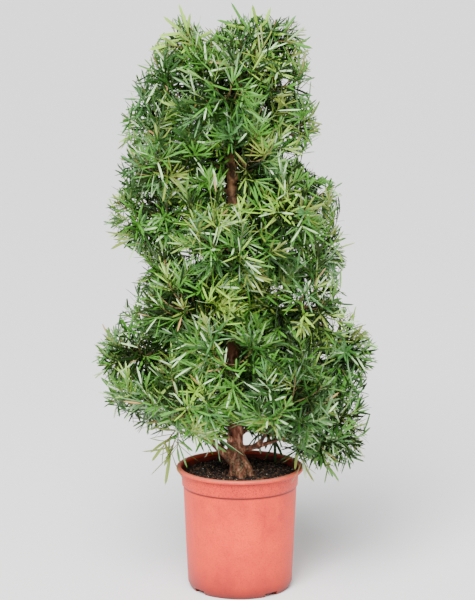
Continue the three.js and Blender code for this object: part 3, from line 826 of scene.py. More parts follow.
def leaves_on(shoot, sizes, random, tone=None):
    """The leaves that wind up one shoot, wide apart low on it and nearly straight on at its tip"""
    leafy = shoot.line.length * (1 - shoot.first_leaf)
    count = int(np.clip(round(leafy / LEAF_SPACING), *LEAF_COUNTS))
    order = np.linspace(0, 1, count)
    shares = lerp(shoot.first_leaf, LEAF_ORDER["last"], order ** LEAF_ORDER["crowding"])
    axes = shoot.line.heading(shares)
    turns = random.random() * math.tau + np.arange(count) * GOLDEN_ANGLE
    turns = turns + random.uniform(-VARIED["turn"], VARIED["turn"], count)
    uneven = random.uniform(-VARIED["spread"], VARIED["spread"], count)
    spreads = np.radians(lerp(*LEAF_SPREAD, order ** LEAF_ORDER["closing"]) + uneven)
    across = unit(np.cross(level(axes), axes))
    sideways = np.cos(turns)[:, None] * across + np.sin(turns)[:, None] * np.cross(axes, across)
    directions = np.cos(spreads)[:, None] * axes + np.sin(spreads)[:, None] * sideways
    edges = unit(np.cross(directions, axes))
    rolls = random.uniform(-VARIED["roll"], VARIED["roll"], count)[:, None]
    faces = np.cos(rolls) * np.cross(edges, directions) + np.sin(rolls) * edges
    vigour = random.uniform(*VARIED["shoot"])
    shorter = 1 - VARIED["last"] * order**3
    lengths = sizes.length * vigour * random.uniform(*VARIED["length"], count) * shorter
    return Leaves(
        roots=shoot.line.at(shares) - directions * LEAF_SUNK,
        directions=directions,
        faces=faces,
        lengths=lengths,
        widths=sizes.width * random.uniform(*VARIED["width"], count),
        curls=random.uniform(*VARIED["curl"], count),
        tones=leaf_tones(shoot, shares, random, tone),
    )


def leaf_tones(shoot, shares, random, tone):
    """One tone for the spray, but for single pale leaves as painted highlights, dry leaves, and painted shade
    deep in the crown
    """
    value = random.random()
    if random.random() < PLACE_SHARE:
        value = float(np.clip(0.5 + wave_height(shoot.line.at(1), TONE_WAVES), 0, 0.999))
    chances = random.random(len(shares))
    # Single pale leaves are painted highlights, on the named sprays as on the rest
    if tone is not None:
        return np.where(chances < HIGHLIGHT_LEAF_SHARE, TONE["pale"], tone)
    tones = np.full(len(shares), pick_tone(value))
    tones[chances < HIGHLIGHT_LEAF_SHARE] = TONE["pale"]
    tones[chances > 1 - DRY_SHARE] = TONE["dry"]
    # Leaves deep in the crown or in hollows between the masses take the dim and shade tones: painted shade
    roots = shoot.line.at(shares)
    depths = np.minimum(crown_depth(roots), outline_depth(roots))
    tones[(depths > DIM_DEPTH) | (egg_depths(roots).max(axis=-1) < HOLLOW_DEPTH)] = TONE["dim"]
    tones[depths > SHADE_DEPTH] = TONE["shade"]
    return tones


def fit_leaves(leaves, random):
    """Shortens leaves that would leave the crown or touch a limb, and drops those that stay too short"""
    stray = random.random(len(leaves.lengths)) < STRAY_LEAVES["share"]
    slack = np.where(stray, STRAY_LEAVES["past"], 0)[:, None]
    shares = np.zeros(len(leaves.lengths))
    for share in LEAF_SHARES:
        reach = LEAF_TESTS[None, :, None] * (leaves.lengths * share)[:, None, None]
        points = leaves.roots[:, None, :] + leaves.directions[:, None, :] * reach
        fits = (crown_depth(points) > EDGE_MARGIN).all(axis=1) & ~out_of_place(points, slack).any(axis=1)
        fits &= (limb_gap(points) > LIMB_MARGIN).all(axis=1) & (stray | ~in_opening(points).any(axis=1))
        shares = np.where((shares == 0) & fits, share, shares)
    kept = shares > 0
    leaves = leaves._replace(lengths=leaves.lengths * shares)
    return Leaves(*(column[kept] for column in leaves))


@cache
def leaves_of_mass(index):
    sizes = bpy.context.scene.leaf_sizes
    random = np.random.default_rng(SEED["tones"] + SEED["step"] * index)
    shoots = twigs_of(index) + of_mass(grow_side_shoots(), index)
    fitted = fit_leaves(all_leaves([leaves_on(shoot, sizes, random) for shoot in shoots]), random)
    sprays = []
    for shoot, tone in grow_sprays(index):
        leaves = leaves_on(shoot, sizes, random, tone)
        lengths, widths = leaves.lengths * SPRAY["leaf_length"], leaves.widths * SPRAY["leaf_width"]
        large = leaves._replace(lengths=lengths, widths=widths)
        sprays.append(Leaves(*(column[::2] for column in large)))
    return all_leaves([fitted] + sprays)


def blades(leaves):
    """Closed blades of eighteen triangles with a raised midrib: points, faces and material indices"""
    sides = np.cross(leaves.directions, leaves.faces)

    def midline(t):
        bent = leaves.curls * leaves.lengths * t**2
        return leaves.roots + leaves.directions * (leaves.lengths * t)[:, None] + leaves.faces * bent[:, None]

    rings = [midline(0.0)[:, None, :]]
    for t, share in zip(LEAF_STATIONS, LEAF_WIDTHS):
        half = (leaves.widths * share / 2)[:, None]
        middle = midline(t)
        midrib = middle + leaves.faces * (leaves.widths * share * LEAF_FOLD)[:, None]
        rings.append(np.stack([middle - sides * half, midrib, middle + sides * half], axis=1))
    rings.append(midline(1.0)[:, None, :])
    points = np.concatenate(rings, axis=1) + FOOT
    tip = points.shape[1] - 1
    triangles = [[0, 1 + k, 1 + (k + 1) % 3] for k in range(3)]
    triangles += [[tip, tip - 3 + (k + 1) % 3, tip - 3 + k] for k in range(3)]
    quads = []
    for low in range(1, tip - 3, 3):
        quads += [[low + k, low + 3 + k, low + 3 + (k + 1) % 3, low + (k + 1) % 3] for k in range(3)]
    starts = np.arange(len(points))[:, None, None] * (tip + 1)
    faces, marks = [], []
    for shapes in (triangles, quads):
        faces += (np.array(shapes) + starts).reshape(-1, len(shapes[0])).tolist()
        under = np.tile([0, 0, 1], len(shapes) // 3)
        marks.append((2 * leaves.tones[:, None] + under).ravel())
    return points.reshape(-1, 3), faces, np.concatenate(marks)


# Meshes


def skin(rings):
    """A closed skin over rings of equal number: points and faces"""
    sides = len(rings[0])
    last = (len(rings) - 1) * sides
    faces = [list(range(sides))[::-1], list(range(last, last + sides))]
    for low in range(0, last, sides):
        edges = [(low + k, low + (k + 1) % sides) for k in range(sides)]
        faces += [[a, b, b + sides, a + sides] for a, b in edges]
    return np.concatenate(rings), faces


def tube(line, radii, sides):
    """A closed round tube along a line: points and faces"""
    shares = np.linspace(0, 1, len(radii))
    centres = [line.at(share) for share in shares]
    headings = [line.heading(share) for share in shares]
    turns = np.arange(sides) * math.tau / sides
    across = unit(np.cross(headings[0], level(headings[0])))
    rings = []
    for centre, heading, radius in zip(centres, headings, radii):
        across = unit(across - heading * (across @ heading))
        other = np.cross(heading, across)
        rings.append(centre + radius * (np.cos(turns)[:, None] * across + np.sin(turns)[:, None] * other))
    return skin(rings)


def shoot_tube(shoot, kind):
    rings, sides = TUBES[kind]
    return tube(shoot.line, np.linspace(shoot.root, shoot.tip, rings), sides)


def joined(parts):
    """Several lots of points and faces as one"""
    points, faces, count = [], [], 0
    for some_points, some_faces in parts:
        points.append(some_points)
        faces += [[corner + count for corner in face] for face in some_faces]
        count += len(some_points)
    return np.concatenate(points), faces


def piece_from(name, points, faces, materials, marks=None):
    """A new piece from points and faces, selected and active"""
    mesh = bpy.data.meshes.new(name)
    mesh.from_pydata(points.tolist(), [], faces)
    for material in materials:
        mesh.materials.append(material)
    if marks is not None:
        mesh.polygons.foreach_set("material_index", marks.astype(np.int32))
    piece = bpy.data.objects.new(name, mesh)
    bpy.context.scene.collection.objects.link(piece)
    only(piece)
    return piece


def only(piece):
    """Selects one piece and nothing else"""
    bpy.ops.object.select_all(action="DESELECT")
    piece.select_set(True)
    bpy.context.view_layer.objects.active = piece


def edit_mode(start=True):
    bpy.ops.object.mode_set(mode="EDIT" if start else "OBJECT")


def named(name):
    """Names the piece that was just added"""
    piece = bpy.context.active_object
    piece.name = name
    piece.data.name = name
    only(piece)
    return piece


def apply_modifier(piece, kind, **settings):
    only(piece)
    modifier = piece.modifiers.new(kind.lower(), kind)
    for key, value in settings.items():
        setattr(modifier, key, value)
    bpy.ops.object.modifier_apply(modifier=modifier.name)


def finish_piece(piece, slot, *nodes):
    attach(piece, "root")
    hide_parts(*nodes)


# Materials


def principled(name, base, roughness):
    """A new material: its node tree and its shader"""
    material = bpy.data.materials.new(name)
    material.use_nodes = True
    shader = material.node_tree.nodes["Principled BSDF"]
    shader.inputs["Base Color"].default_value = (*base, 1)
    shader.inputs["Roughness"].default_value = roughness
    return material, material.node_tree, shader


def pattern(tree, scale, stretch=(1, 1, 1), **inputs):
    """The value of a noise that is fixed to the piece"""
    place = tree.nodes.new("ShaderNodeTexCoord")
    mapping = tree.nodes.new("ShaderNodeMapping")
    mapping.inputs["Scale"].default_value = stretch
    node = tree.nodes.new("ShaderNodeTexNoise")
    for key, value in {"Scale": scale, **inputs}.items():
        node.inputs[key].default_value = value
    tree.links.new(place.outputs["Object"], mapping.inputs["Vector"])
    tree.links.new(mapping.outputs["Vector"], node.inputs["Vector"])
    return node.outputs["Fac"]


def ramp(tree, source, *stops):
    """Turns a value into colours or greys at stops: (position, colour or grey) pairs"""
    node = tree.nodes.new("ShaderNodeValToRGB")
    elements = node.color_ramp.elements
    while len(elements) < len(stops):
        elements.new(0.5)
    for element, (position, value) in zip(elements, stops):
        element.position = position
        grey = isinstance(value, (int, float))
        element.color = (value, value, value, 1) if grey else (*value, 1)
    tree.links.new(source, node.inputs["Fac"])
    return node.outputs["Color"]


def blend_colours(tree, first, second, factor, mode="MIX"):
    node = tree.nodes.new("ShaderNodeMix")
    node.data_type = "RGBA"
    node.blend_type = mode
    for socket, value in (("Factor", factor), ("A", first), ("B", second)):
        slot = next(s for s in node.inputs if s.name == socket and s.enabled)
        if isinstance(value, (int, float)):
            slot.default_value = value
        elif isinstance(value, tuple):
            slot.default_value = (*value, 1)
        else:
            tree.links.new(value, slot)
    return next(s for s in node.outputs if s.enabled)


def bump(tree, shader, height, strength, distance):
    node = tree.nodes.new("ShaderNodeBump")
    node.inputs["Strength"].default_value = strength
    node.inputs["Distance"].default_value = distance
    tree.links.new(height, node.inputs["Height"])
    tree.links.new(node.outputs["Normal"], shader.inputs["Normal"])


def height_share(tree, low, high):
    """0 at one height of the piece and 1 at another"""
    place = tree.nodes.new("ShaderNodeTexCoord")
    split = tree.nodes.new("ShaderNodeSeparateXYZ")
    spread = tree.nodes.new("ShaderNodeMapRange")
    spread.inputs["From Min"].default_value = low
    spread.inputs["From Max"].default_value = high
    tree.links.new(place.outputs["Object"], split.inputs["Vector"])
    tree.links.new(split.outputs["Z"], spread.inputs["Value"])
    return spread.outputs["Result"]


def shade(base, factor):
    """A lighter or darker version of a colour"""
    return tuple(min(1.0, channel * factor) for channel in base)


def pot_plastic(base, roughness):
    """Moulded plastic, faded in soft patches, speckled, darker towards the foot, with painted shade under the
    step and the lip
    """
    material, tree, shader = principled("pot_plastic", base, roughness)
    faded = (min(1.0, base[0] * 1.12), base[1] * 1.6, base[2] * 1.6)
    rich = (base[0] * 0.80, base[1] * 0.62, base[2] * 0.58)
    patches = pattern(tree, 16, (1, 1, 0.7), Detail=7, Roughness=0.72)
    body = ramp(tree, patches, (0.34, rich), (0.47, base), (0.60, faded))
    # This dark colour serves for dirt specks and for the painted shadow lines under the step and the lip
    dirt_and_shadow, worn = (0.16, 0.08, 0.06), (0.92, 0.80, 0.74)
    speckle = pattern(tree, 520, Detail=3, Roughness=0.7)
    grain = ramp(tree, speckle, (0.38, dirt_and_shadow), (0.46, 1))
    level = height_share(tree, 0, POT_HEIGHT)
    step = POT["step_height"] / POT_HEIGHT
    lip = (POT_HEIGHT - POT["lip_height"]) / POT_HEIGHT
    scuffs = ramp(tree, level, (step, 0.40), (step + 0.01, 0.9), (lip, 1), (lip + 0.01, 0.6))
    body = blend_colours(tree, body, grain, scuffs, "MULTIPLY")
    # Darker towards the foot; a dark line under the step, partly dirt and partly painted shadow, and one
    # under the lip, painted shadow
    tints = ramp(
        tree, level,
        (0.0, (0.14, 0.08, 0.06)), (0.04, (0.32, 0.20, 0.16)), (0.10, (0.60, 0.44, 0.38)),
        (0.22, (0.84, 0.72, 0.66)), (0.45, 1), (step - 0.016, 1), (step - 0.006, dirt_and_shadow),
        (step + 0.002, dirt_and_shadow), (step + 0.012, worn), (lip - 0.012, worn), (lip + 0.002, dirt_and_shadow),
        (lip + 0.012, 1),
    )
    body = blend_colours(tree, body, tints, 1.0, "MULTIPLY")
    # The lip's top lightened towards a pale pink: painted light
    lit_lip_top = ramp(tree, level, (lip + 0.018, 0), (1.0, 0.65))
    body = blend_colours(tree, body, colour(214, 132, 106), lit_lip_top)
    tree.links.new(body, shader.inputs["Base Color"])
    wear = ramp(tree, patches, (0.3, roughness - 0.08), (0.7, roughness + 0.12))
    tree.links.new(wear, shader.inputs["Roughness"])
    bump(tree, shader, speckle, 0.25, 0.0004)
    return material


def mottled(name, base, roughness, grain, dark, light):
    """A material with one fine pattern of two colours, and the parts of it that others build on"""
    material, tree, shader = principled(name, base, roughness)
    scale, detail, harshness = grain
    value = pattern(tree, scale, Detail=detail, Roughness=harshness)
    tree.links.new(ramp(tree, value, dark, light), shader.inputs["Base Color"])
    return material, tree, shader, value


def inner_plastic(base, roughness):
    """The same plastic inside the wall, browned by the mix"""
    dirt, stained = (0.38, colour(56, 36, 22)), (0.66, shade(base, 0.42))
    return mottled("pot_plastic_inside", base, roughness, (40, 5, 0.7), dirt, stained)[0]


def peat(name, base, spread):
    """Moist crumbly matter, uneven in tone"""
    dark, light = (0.35, shade(base, 1 - spread)), (0.68, shade(base, 1 + spread))
    material, tree, shader, grains = mottled(name, base, 0.9, (380, 3, 0.7), dark, light)
    bump(tree, shader, grains, 0.6, 0.0008)
    return material


def bark_material(base):
    """Reddish-brown bark in fine upright strips, darker in patches of painted shade, tan and lighter higher
    up (partly painted light), with grey-green lichen near the foot
    """
    material, tree, shader = principled("bark", base, 0.8)
    strips = pattern(tree, 120, (1, 1, 0.30), Detail=5, Roughness=0.6)
    tints = zip((0.34, 0.44, 0.54), (shade(base, factor) for factor in (0.30, 1.1, 2.2)))
    body = ramp(tree, strips, *tints, (0.64, colour(196, 142, 116)))
    # Large darker patches: painted shade, as cast by the leaves
    shade_patch_noise = pattern(tree, 38, (1, 1, 0.8), Detail=4, Roughness=0.6)
    painted_shade_patches = ramp(tree, shade_patch_noise, (0.40, (0.20, 0.18, 0.15)), (0.54, 1))
    body = blend_colours(tree, body, painted_shade_patches, 0.85, "MULTIPLY")
    # Tan and lighter higher up: partly the bark's own colour, partly painted light
    tan_and_lit_share = ramp(tree, height_share(tree, SOIL_TOP + 0.10, SOIL_TOP + 0.60), (0.0, 0), (1.0, 0.7))
    tan = blend_colours(tree, colour(168, 128, 80), painted_shade_patches, 1.0, "MULTIPLY")
    body = blend_colours(tree, body, tan, tan_and_lit_share)
    spots = ramp(tree, pattern(tree, 210, Detail=6, Roughness=0.75), (0.50, 0), (0.60, 1))
    near_foot = ramp(tree, height_share(tree, SOIL_TOP, SOIL_TOP + 0.11), (0.0, 0.75), (1.0, 0))
    lichen = blend_colours(tree, spots, near_foot, 1.0, "MULTIPLY")
    body = blend_colours(tree, body, colour(140, 130, 88), lichen)
    tree.links.new(body, shader.inputs["Base Color"])
    bump(tree, shader, strips, 0.5, 0.0012)
    return material


def twig_wood(name, base, roughness):
    """Thin wood, a little uneven in tone"""
    dark, light = (0.35, shade(base, 0.65)), (0.65, shade(base, 1.3))
    return mottled(name, base, roughness, (260, 3, 0.6), dark, light)[0]


def leaf_materials(roughness):
    """Two plain colours for each tone: the waxy upper face, and the paler, duller underside"""
    made = []
    for name, _, upper, under in TONES:
        for side, base, dullness in (("upper", upper, 0), ("under", under, LEAF_GLOSS["duller_under"])):
            dull = roughness + dullness
            material, tree, shader = principled(f"leaf_{name}_{side}", base, dull)
            gloss = LEAF_GLOSS["inside" if name in ("dim", "shade") else "outside"]
            shader.inputs["Specular IOR Level"].default_value = gloss
            wax = ramp(tree, pattern(tree, 90, Detail=2), (0.3, dull - 0.06), (0.7, dull + 0.08))
            tree.links.new(wax, shader.inputs["Roughness"])
            made.append(material)
    return made


# The pot


def draw_rings(rings):
    """Extrudes the selected ring through (radius, height) pairs, the first of which it already has"""
    for (radius, height), (next_radius, next_height) in zip(rings, rings[1:]):
        rise = (0, 0, next_height - height)
        bpy.ops.mesh.extrude_region_move(TRANSFORM_OT_translate={"value": rise})
        factor = next_radius / radius
        bpy.ops.transform.resize(value=(factor, factor, 1), center_override=(0, 0, next_height))


def arc(centre, radius, first_degrees, last_degrees, steps):
    """Points of an arc in the profile's plane"""
    angles = np.radians(np.linspace(first_degrees, last_degrees, steps + 1))
    return [(centre[0] + radius * math.cos(a), centre[1] + radius * math.sin(a)) for a in angles]


def pot_profile(rounding):
    """The pot's outline from the foot up its outside, over the rolled lip and down its inside to the floor"""
    foot, base, step = POT["foot_radius"], POT["base_radius"], POT["step_radius"]
    foot_top, step_low, lip_foot = POT["foot_height"], POT["step_height"], POT_HEIGHT - POT["lip_height"]
    wall, inside = POT["wall"], POT["lip_inner_radius"]
    band, band_top = step + POT["step_width"], POT["band_top_radius"]
    small, inner_edge = 0.0006, 0.0022
    outer, inner = LIP_RADIUS - rounding, inside + inner_edge
    return [
        (foot, 0),
        (lerp(foot, base, 0.08), 0.0010),
        (lerp(foot, base, 0.92), foot_top - 2 * small),
        (base, foot_top + small),
        (lerp(base, step, 0.5), lerp(foot_top, step_low, 0.5)),
        (step - small, step_low - 0.0015),
        (step - small, step_low),
        (band, step_low + small),
        (band + small, step_low + 0.002),
        (band_top, lip_foot - 0.0016),
        (band_top + 2 * small, lip_foot - 0.0004),
        *arc((outer, lip_foot + rounding), rounding, -90, 0, 6),
        *arc((outer, POT_HEIGHT - rounding), rounding, 0, 90, 6),
        *arc((inner, POT_HEIGHT - inner_edge), inner_edge, 90, 180, 4),
        (inside - small, lip_foot),
        (step - wall, step_low),
        (base - wall, foot_top),
        (foot - wall, POT["floor"]),
    ]


def pocket_block(turn, low, high, inner, outer, width):
    """A block that stands on the ground across the pot's foot at a turn round its axis"""
    bpy.ops.mesh.primitive_cube_add(size=1, location=((inner + outer) / 2, 0, (low + high) / 2))
    block = bpy.context.active_object
    block.dimensions = (outer - inner, width, high - low)
    bpy.ops.object.transform_apply(location=True, rotation=False, scale=True)
    block.rotation_euler.z = turn
    bpy.ops.object.transform_apply(location=False, rotation=True, scale=False)
    return block


def combine(piece, block, operation):
    apply_modifier(piece, "BOOLEAN", object=block, operation=operation, solver="EXACT")
    bpy.data.objects.remove(block)


class PODOCARPUS_OT_pot(bpy.types.Operator):
    """Models the pot: wall, band, rolled lip, foot and the four drain pockets"""

    bl_idname = "podocarpus.pot"
    bl_label = "Pot"

    def execute(self, context):
        sizes = context.scene.pot_sizes
        pot = self.draw_wall(sizes)
        self.cut_pockets(pot)
        base = context.scene.plant_colours.pot
        pot.data.materials.append(pot_plastic(base, sizes.roughness))
        pot.data.materials.append(inner_plastic(base, sizes.roughness))
        inside_top = POT_HEIGHT - POT["lip_height"] * 0.8
        for face in pot.data.polygons:
            x, y, z = face.center
            inward = face.normal.x * x + face.normal.y * y < -1e-5
            face.material_index = int(inward and POT["floor"] < z < inside_top)
        only(pot)
        bpy.ops.object.shade_smooth_by_angle(angle=math.radians(SMOOTHED["pot"]))
        finish_piece(pot, "pot", "pot")
        return {"FINISHED"}

    def draw_wall(self, sizes):
        mesh = bpy.ops.mesh
        bpy.ops.object.select_all(action="DESELECT")
        profile = pot_profile(sizes.lip_rounding)
        mesh.primitive_circle_add(vertices=sizes.sides, radius=profile[0][0], fill_type="NGON")
        pot = named("nursery_pot")
        edit_mode()
        mesh.select_all(action="SELECT")
        mesh.flip_normals()
        mesh.select_all(action="DESELECT")
        mesh.select_mode(type="EDGE")
        mesh.select_all(action="SELECT")
        draw_rings(profile)
        mesh.edge_face_add()
        mesh.select_all(action="SELECT")
        mesh.normals_make_consistent(inside=False)
        edit_mode(False)
        return pot

    def cut_pockets(self, pot):
        wall, depth, height = POT["wall"], POCKET["depth"], POCKET["height"]
        inner, outer = POT["foot_radius"] - depth, POT["base_radius"] + 0.01
        side = POT["foot_radius"] - wall / 2
        slot_middle, reach = POT["foot_radius"] - depth / 2, POCKET["slot_depth"] / 2
        slot_low, slot_high = slot_middle - reach, slot_middle + reach
        cuts = (
            ("UNION", wall / 2, height + wall, inner - wall, side, POCKET["width"] + 2 * wall),
            ("DIFFERENCE", -0.01, height, inner, outer, POCKET["width"]),
            ("DIFFERENCE", 0, 2 * height, slot_low, slot_high, POCKET["slot_width"]),
        )
        for i in range(POCKET["count"]):
            turn = math.radians(POCKET["first_degrees"] + i * 360 / POCKET["count"])
            for operation, *size in cuts:
                combine(pot, pocket_block(turn, *size), operation)


# The potting mix


@cache
def regular_lump():
    """A regular body of twenty triangles: its corners, and its faces as corners in order"""
    golden = (1 + math.sqrt(5)) / 2
    pairs = [(a, b * golden) for a in (-1, 1) for b in (-1, 1)]
    corners = [(a, b, 0) for a, b in pairs] + [(0, a, b) for a, b in pairs] + [(b, 0, a) for a, b in pairs]
    corners = np.array(corners)
    near = np.linalg.norm(corners[:, None] - corners[None], axis=-1) < 2.1
    faces = []
    for a, b, c in combinations(range(12), 3):
        if near[a, b] and near[b, c] and near[a, c]:
            outward = np.cross(corners[b] - corners[a], corners[c] - corners[a]) @ corners[a] > 0
            faces.append([a, b, c] if outward else [a, c, b])
    return corners / np.linalg.norm(corners[0]), np.array(faces)


def lump(random, size, flatness):
    """An angular crumb of twenty faces: its points about its middle"""
    corners, _ = regular_lump()
    uneven = random.uniform(0.62, 1.25, (len(corners), 1))
    stretch = np.array([random.uniform(0.8, 1.5), random.uniform(0.6, 1.0), flatness])
    return corners * uneven * stretch * size / 2


class PODOCARPUS_OT_potting_mix(bpy.types.Operator):
    """Models the potting mix: an uneven bed, and the crumbs and chips that lie on it"""

    bl_idname = "podocarpus.potting_mix"
    bl_label = "Potting mix"

    def execute(self, context):
        base = context.scene.plant_colours.soil
        bed = self.make_bed(base)
        self.scatter_crumbs(bed, context.scene.pot_sizes.crumbs, base)
        return {"FINISHED"}

    def make_bed(self, base):
        bpy.ops.object.select_all(action="DESELECT")
        foot = POT["foot_radius"] - POT["wall"] - SOIL["edge_gap"]
        edge = SOIL_TOP - SOIL["edge_drop"]
        rise = (edge - POT["foot_height"]) / (POT["step_height"] - POT["foot_height"])
        top = min(lerp(POT["base_radius"], POT["step_radius"], rise), POT["step_radius"] + 0.001)
        top -= POT["wall"] + SOIL["edge_gap"]
        low = POCKET["height"] + POT["wall"] + SOIL["edge_gap"]
        middle = (0, 0, (edge + low) / 2)
        bpy.ops.mesh.primitive_cone_add(
            vertices=SOIL["sides"], radius1=foot, radius2=top, depth=edge - low, location=middle
        )
        bed = named("potting_mix_bed")
        bpy.ops.object.transform_apply(location=True, rotation=False, scale=False)
        self.part_top(bed, top)
        for vertex in bed.data.vertices:
            if vertex.co.z > edge - 1e-4:
                radius = math.hypot(vertex.co.x, vertex.co.y)
                heap = 1 - max(0, radius - SOIL["flat_radius"]) / (top - SOIL["flat_radius"])
                rough = noise.fractal(vertex.co * 55, 0.8, 2.1, 3) * SOIL["roughness"]
                lumps = abs(noise.noise(vertex.co * 240)) * SOIL["lumps"]
                inside = min(1, (top - radius) / SOIL["even_edge"])
                vertex.co.z += SOIL["edge_drop"] * heap + (rough + lumps - SOIL["lowered"]) * inside
        bed.data.materials.append(peat("peat_bed", base, 0.55))
        bpy.ops.object.shade_smooth()
        finish_piece(bed, "potting_mix", "potting_mix")
        return bed

    def part_top(self, bed, radius):
        """Parts the flat top into rings"""
        edit_mode()
        bpy.ops.mesh.select_mode(type="FACE")
        bpy.ops.mesh.select_all(action="DESELECT")
        edit_mode(False)
        for face in bed.data.polygons:
            face.select = face.normal.z > 0.9
        edit_mode()
        for _ in range(SOIL["rings"]):
            bpy.ops.mesh.inset(thickness=radius / (SOIL["rings"] + 0.5))
        edit_mode(False)

    def scatter_crumbs(self, bed, count, base):
        random = np.random.default_rng(SEED["crumbs"])
        corners = [vertex.co for vertex in bed.data.vertices]
        surface = BVHTree.FromPolygons(corners, [list(face.vertices) for face in bed.data.polygons])
        shares = np.array([kind[1] for kind in CRUMB_KINDS])
        kinds = random.choice(len(CRUMB_KINDS), size=count, p=shares / shares.sum())
        _, faces = regular_lump()
        points, triangles, marks = [], [], []
        largest = POT["step_radius"] - POT["wall"] - SOIL["edge_gap"]
        for kind in kinds:
            _, _, smallest, biggest, flatness, _, _ = CRUMB_KINDS[kind]
            size = lerp(smallest, biggest, random.random() ** 2)
            radius = (largest - size) * math.sqrt(random.random())
            turn = random.random() * math.tau
            x, y = radius * math.cos(turn), radius * math.sin(turn)
            if math.hypot(x - FOOT[0], y - FOOT[1]) < TRUNK[0][3] * 0.9:
                continue
            hit = surface.ray_cast(Vector((x, y, SOIL_TOP + 0.05)), Vector((0, 0, -1)))[0]
            lean = Vector((*random.normal(0, 0.35, 2), 1))
            spin = np.array(Vector((0, 0, 1)).rotation_difference(lean).to_matrix())
            turn = random.random() * math.tau
            turned = [[math.cos(turn), -math.sin(turn), 0], [math.sin(turn), math.cos(turn), 0], [0, 0, 1]]
            crumb = lump(random, size, flatness) @ (spin @ np.array(turned)).T
            triangles.append(faces + len(crumb) * len(points))
            points.append(crumb + np.array(hit) + UP * size * flatness * 0.22)
            marks.append(np.full(len(faces), kind))
        materials = []
        for name, *_, spread, tint in CRUMB_KINDS:
            tone = colour(*tint) if isinstance(tint, tuple) else shade(base, tint)
            materials.append(peat(name, tone, spread))
        points, triangles, marks = (np.concatenate(rows) for rows in (points, triangles, marks))
        crumbs = piece_from("potting_mix_crumbs", points, triangles.tolist(), materials, marks)
        finish_piece(crumbs, "potting_mix", "potting_mix")


# The trunk and boughs


def trunk_tube():
    """The trunk with its flared foot: points and faces"""
    sides, steps, crowding = 40, 150, 1.35
    turns = np.arange(sides) * math.tau / sides
    lobes = np.cos(ROOT_FLARE["lobes"] * turns + ROOT_FLARE["turn"])
    rings = []
    for height in [TRUNK_TOP * (i / steps) ** crowding for i in range(steps + 1)]:
        swelling = 1 + ROOT_FLARE["share"] * lobes * math.exp(-height / ROOT_FLARE["height"])
        radius = trunk_radius(height) * swelling
        ring = np.stack([np.cos(turns) * radius, np.sin(turns) * radius, np.zeros(sides)], axis=1)
        rings.append(ring + trunk_point(height))
    return skin(rings)


def bough_tube(name):
    """A bough that swells into a collar where it leaves its parent: points and faces"""
    limb = bough(name)
    radii = []
    rings, sides = TUBES["bough"]
    for share in np.linspace(0, 1, rings):
        travel = max(0, share * limb.line.length - 0.7 * limb.root)
        collar = BOUGH["collar"] * math.exp(-travel / BOUGH["collar_length"])
        radii.append(lerp(limb.root, limb.tip, share) + collar)
    return tube(limb.line, radii, sides)


def split_noise(place):
    """Noise in three octaves, for strips that split into finer ones"""
    return noise.fractal(place, 0.7, 2.2, 3)


class PODOCARPUS_OT_limbs(bpy.types.Operator):
    """Models the trunk and boughs as one skin with the bark's relief"""

    bl_idname = "podocarpus.limbs"
    bl_label = "Trunk and boughs"

    def execute(self, context):
        names = [mass.name for mass in MASSES if mass.root]
        points, faces = joined([trunk_tube()] + [bough_tube(name) for name in names])
        material = bark_material(context.scene.plant_colours.bark)
        bark = piece_from("bark", points + FOOT, faces, [material])
        apply_modifier(bark, "REMESH", mode="VOXEL", voxel_size=BARK["voxel"])
        apply_modifier(bark, "SMOOTH", factor=0.6, iterations=3)
        self.carve(bark)
        only(bark)
        bpy.ops.object.shade_smooth()
        finish_piece(bark, "bark", "trunk", *(f"bough_{name}" for name in names))
        return {"FINISHED"}

    def carve(self, bark):
        """Raises strips, swellings and faint rings on the bark, less on thin limbs"""
        places = np.array([vertex.co for vertex in bark.data.vertices])
        normals = np.array([vertex.normal for vertex in bark.data.vertices])
        above = places - FOOT
        stations = np.array(TRUNK)
        on_trunk = off_trunk(above, 200) < np.interp(above[:, 2], stations[:, 0], stations[:, 3]) * 1.7
        amounts = np.zeros(len(places))
        waves = ((split_noise, BARK_STRIPS), (noise.noise, BARK_SWELLINGS), (noise.noise, BARK_RINGS))
        for value_at, (across, along, height) in waves:
            scaled = (places * (across, across, along)).tolist()
            amounts += [height * value_at(place) for place in scaled]
        rise = np.clip(above[:, 2] / BARK["fades_in"], 0, 1)
        amounts *= np.where(on_trunk, 1.0, BARK["on_boughs"])
        amounts *= rise
        bark.data.vertices.foreach_set("co", (places + normals * amounts[:, None]).ravel())
        bark.data.update()


# The foliage


class PODOCARPUS_OT_twigs(bpy.types.Operator):
    """Models the stems, twigs and side shoots that carry the leaves"""

    bl_idname = "podocarpus.twigs"
    bl_label = "Twigs"

    def execute(self, context):
        woody, green = [], []
        for index in range(len(MASSES)):
            stem, *twigs = twigs_of(index) + [spray for spray, _ in grow_sprays(index)]
            woody += [shoot_tube(stem, "stem")] + [shoot_tube(twig, "twig") for twig in twigs]
            green += [shoot_tube(shoot, "side_shoot") for shoot in of_mass(grow_side_shoots(), index)]
        points, faces = joined(woody + green)
        split = sum(len(some_faces) for _, some_faces in woody)
        marks = np.array([0] * split + [1] * (len(faces) - split))
        materials = [
            twig_wood("twig_wood", colour(116, 96, 58), 0.7),
            twig_wood("green_shoot", colour(104, 124, 54), 0.5),
        ]
        twigs = piece_from("twigs", points + FOOT, faces, materials, marks)
        bpy.ops.object.shade_smooth_by_angle(angle=math.radians(SMOOTHED["twigs"]))
        finish_piece(twigs, "foliage", *(f"foliage_{mass.name}" for mass in MASSES))
        return {"FINISHED"}


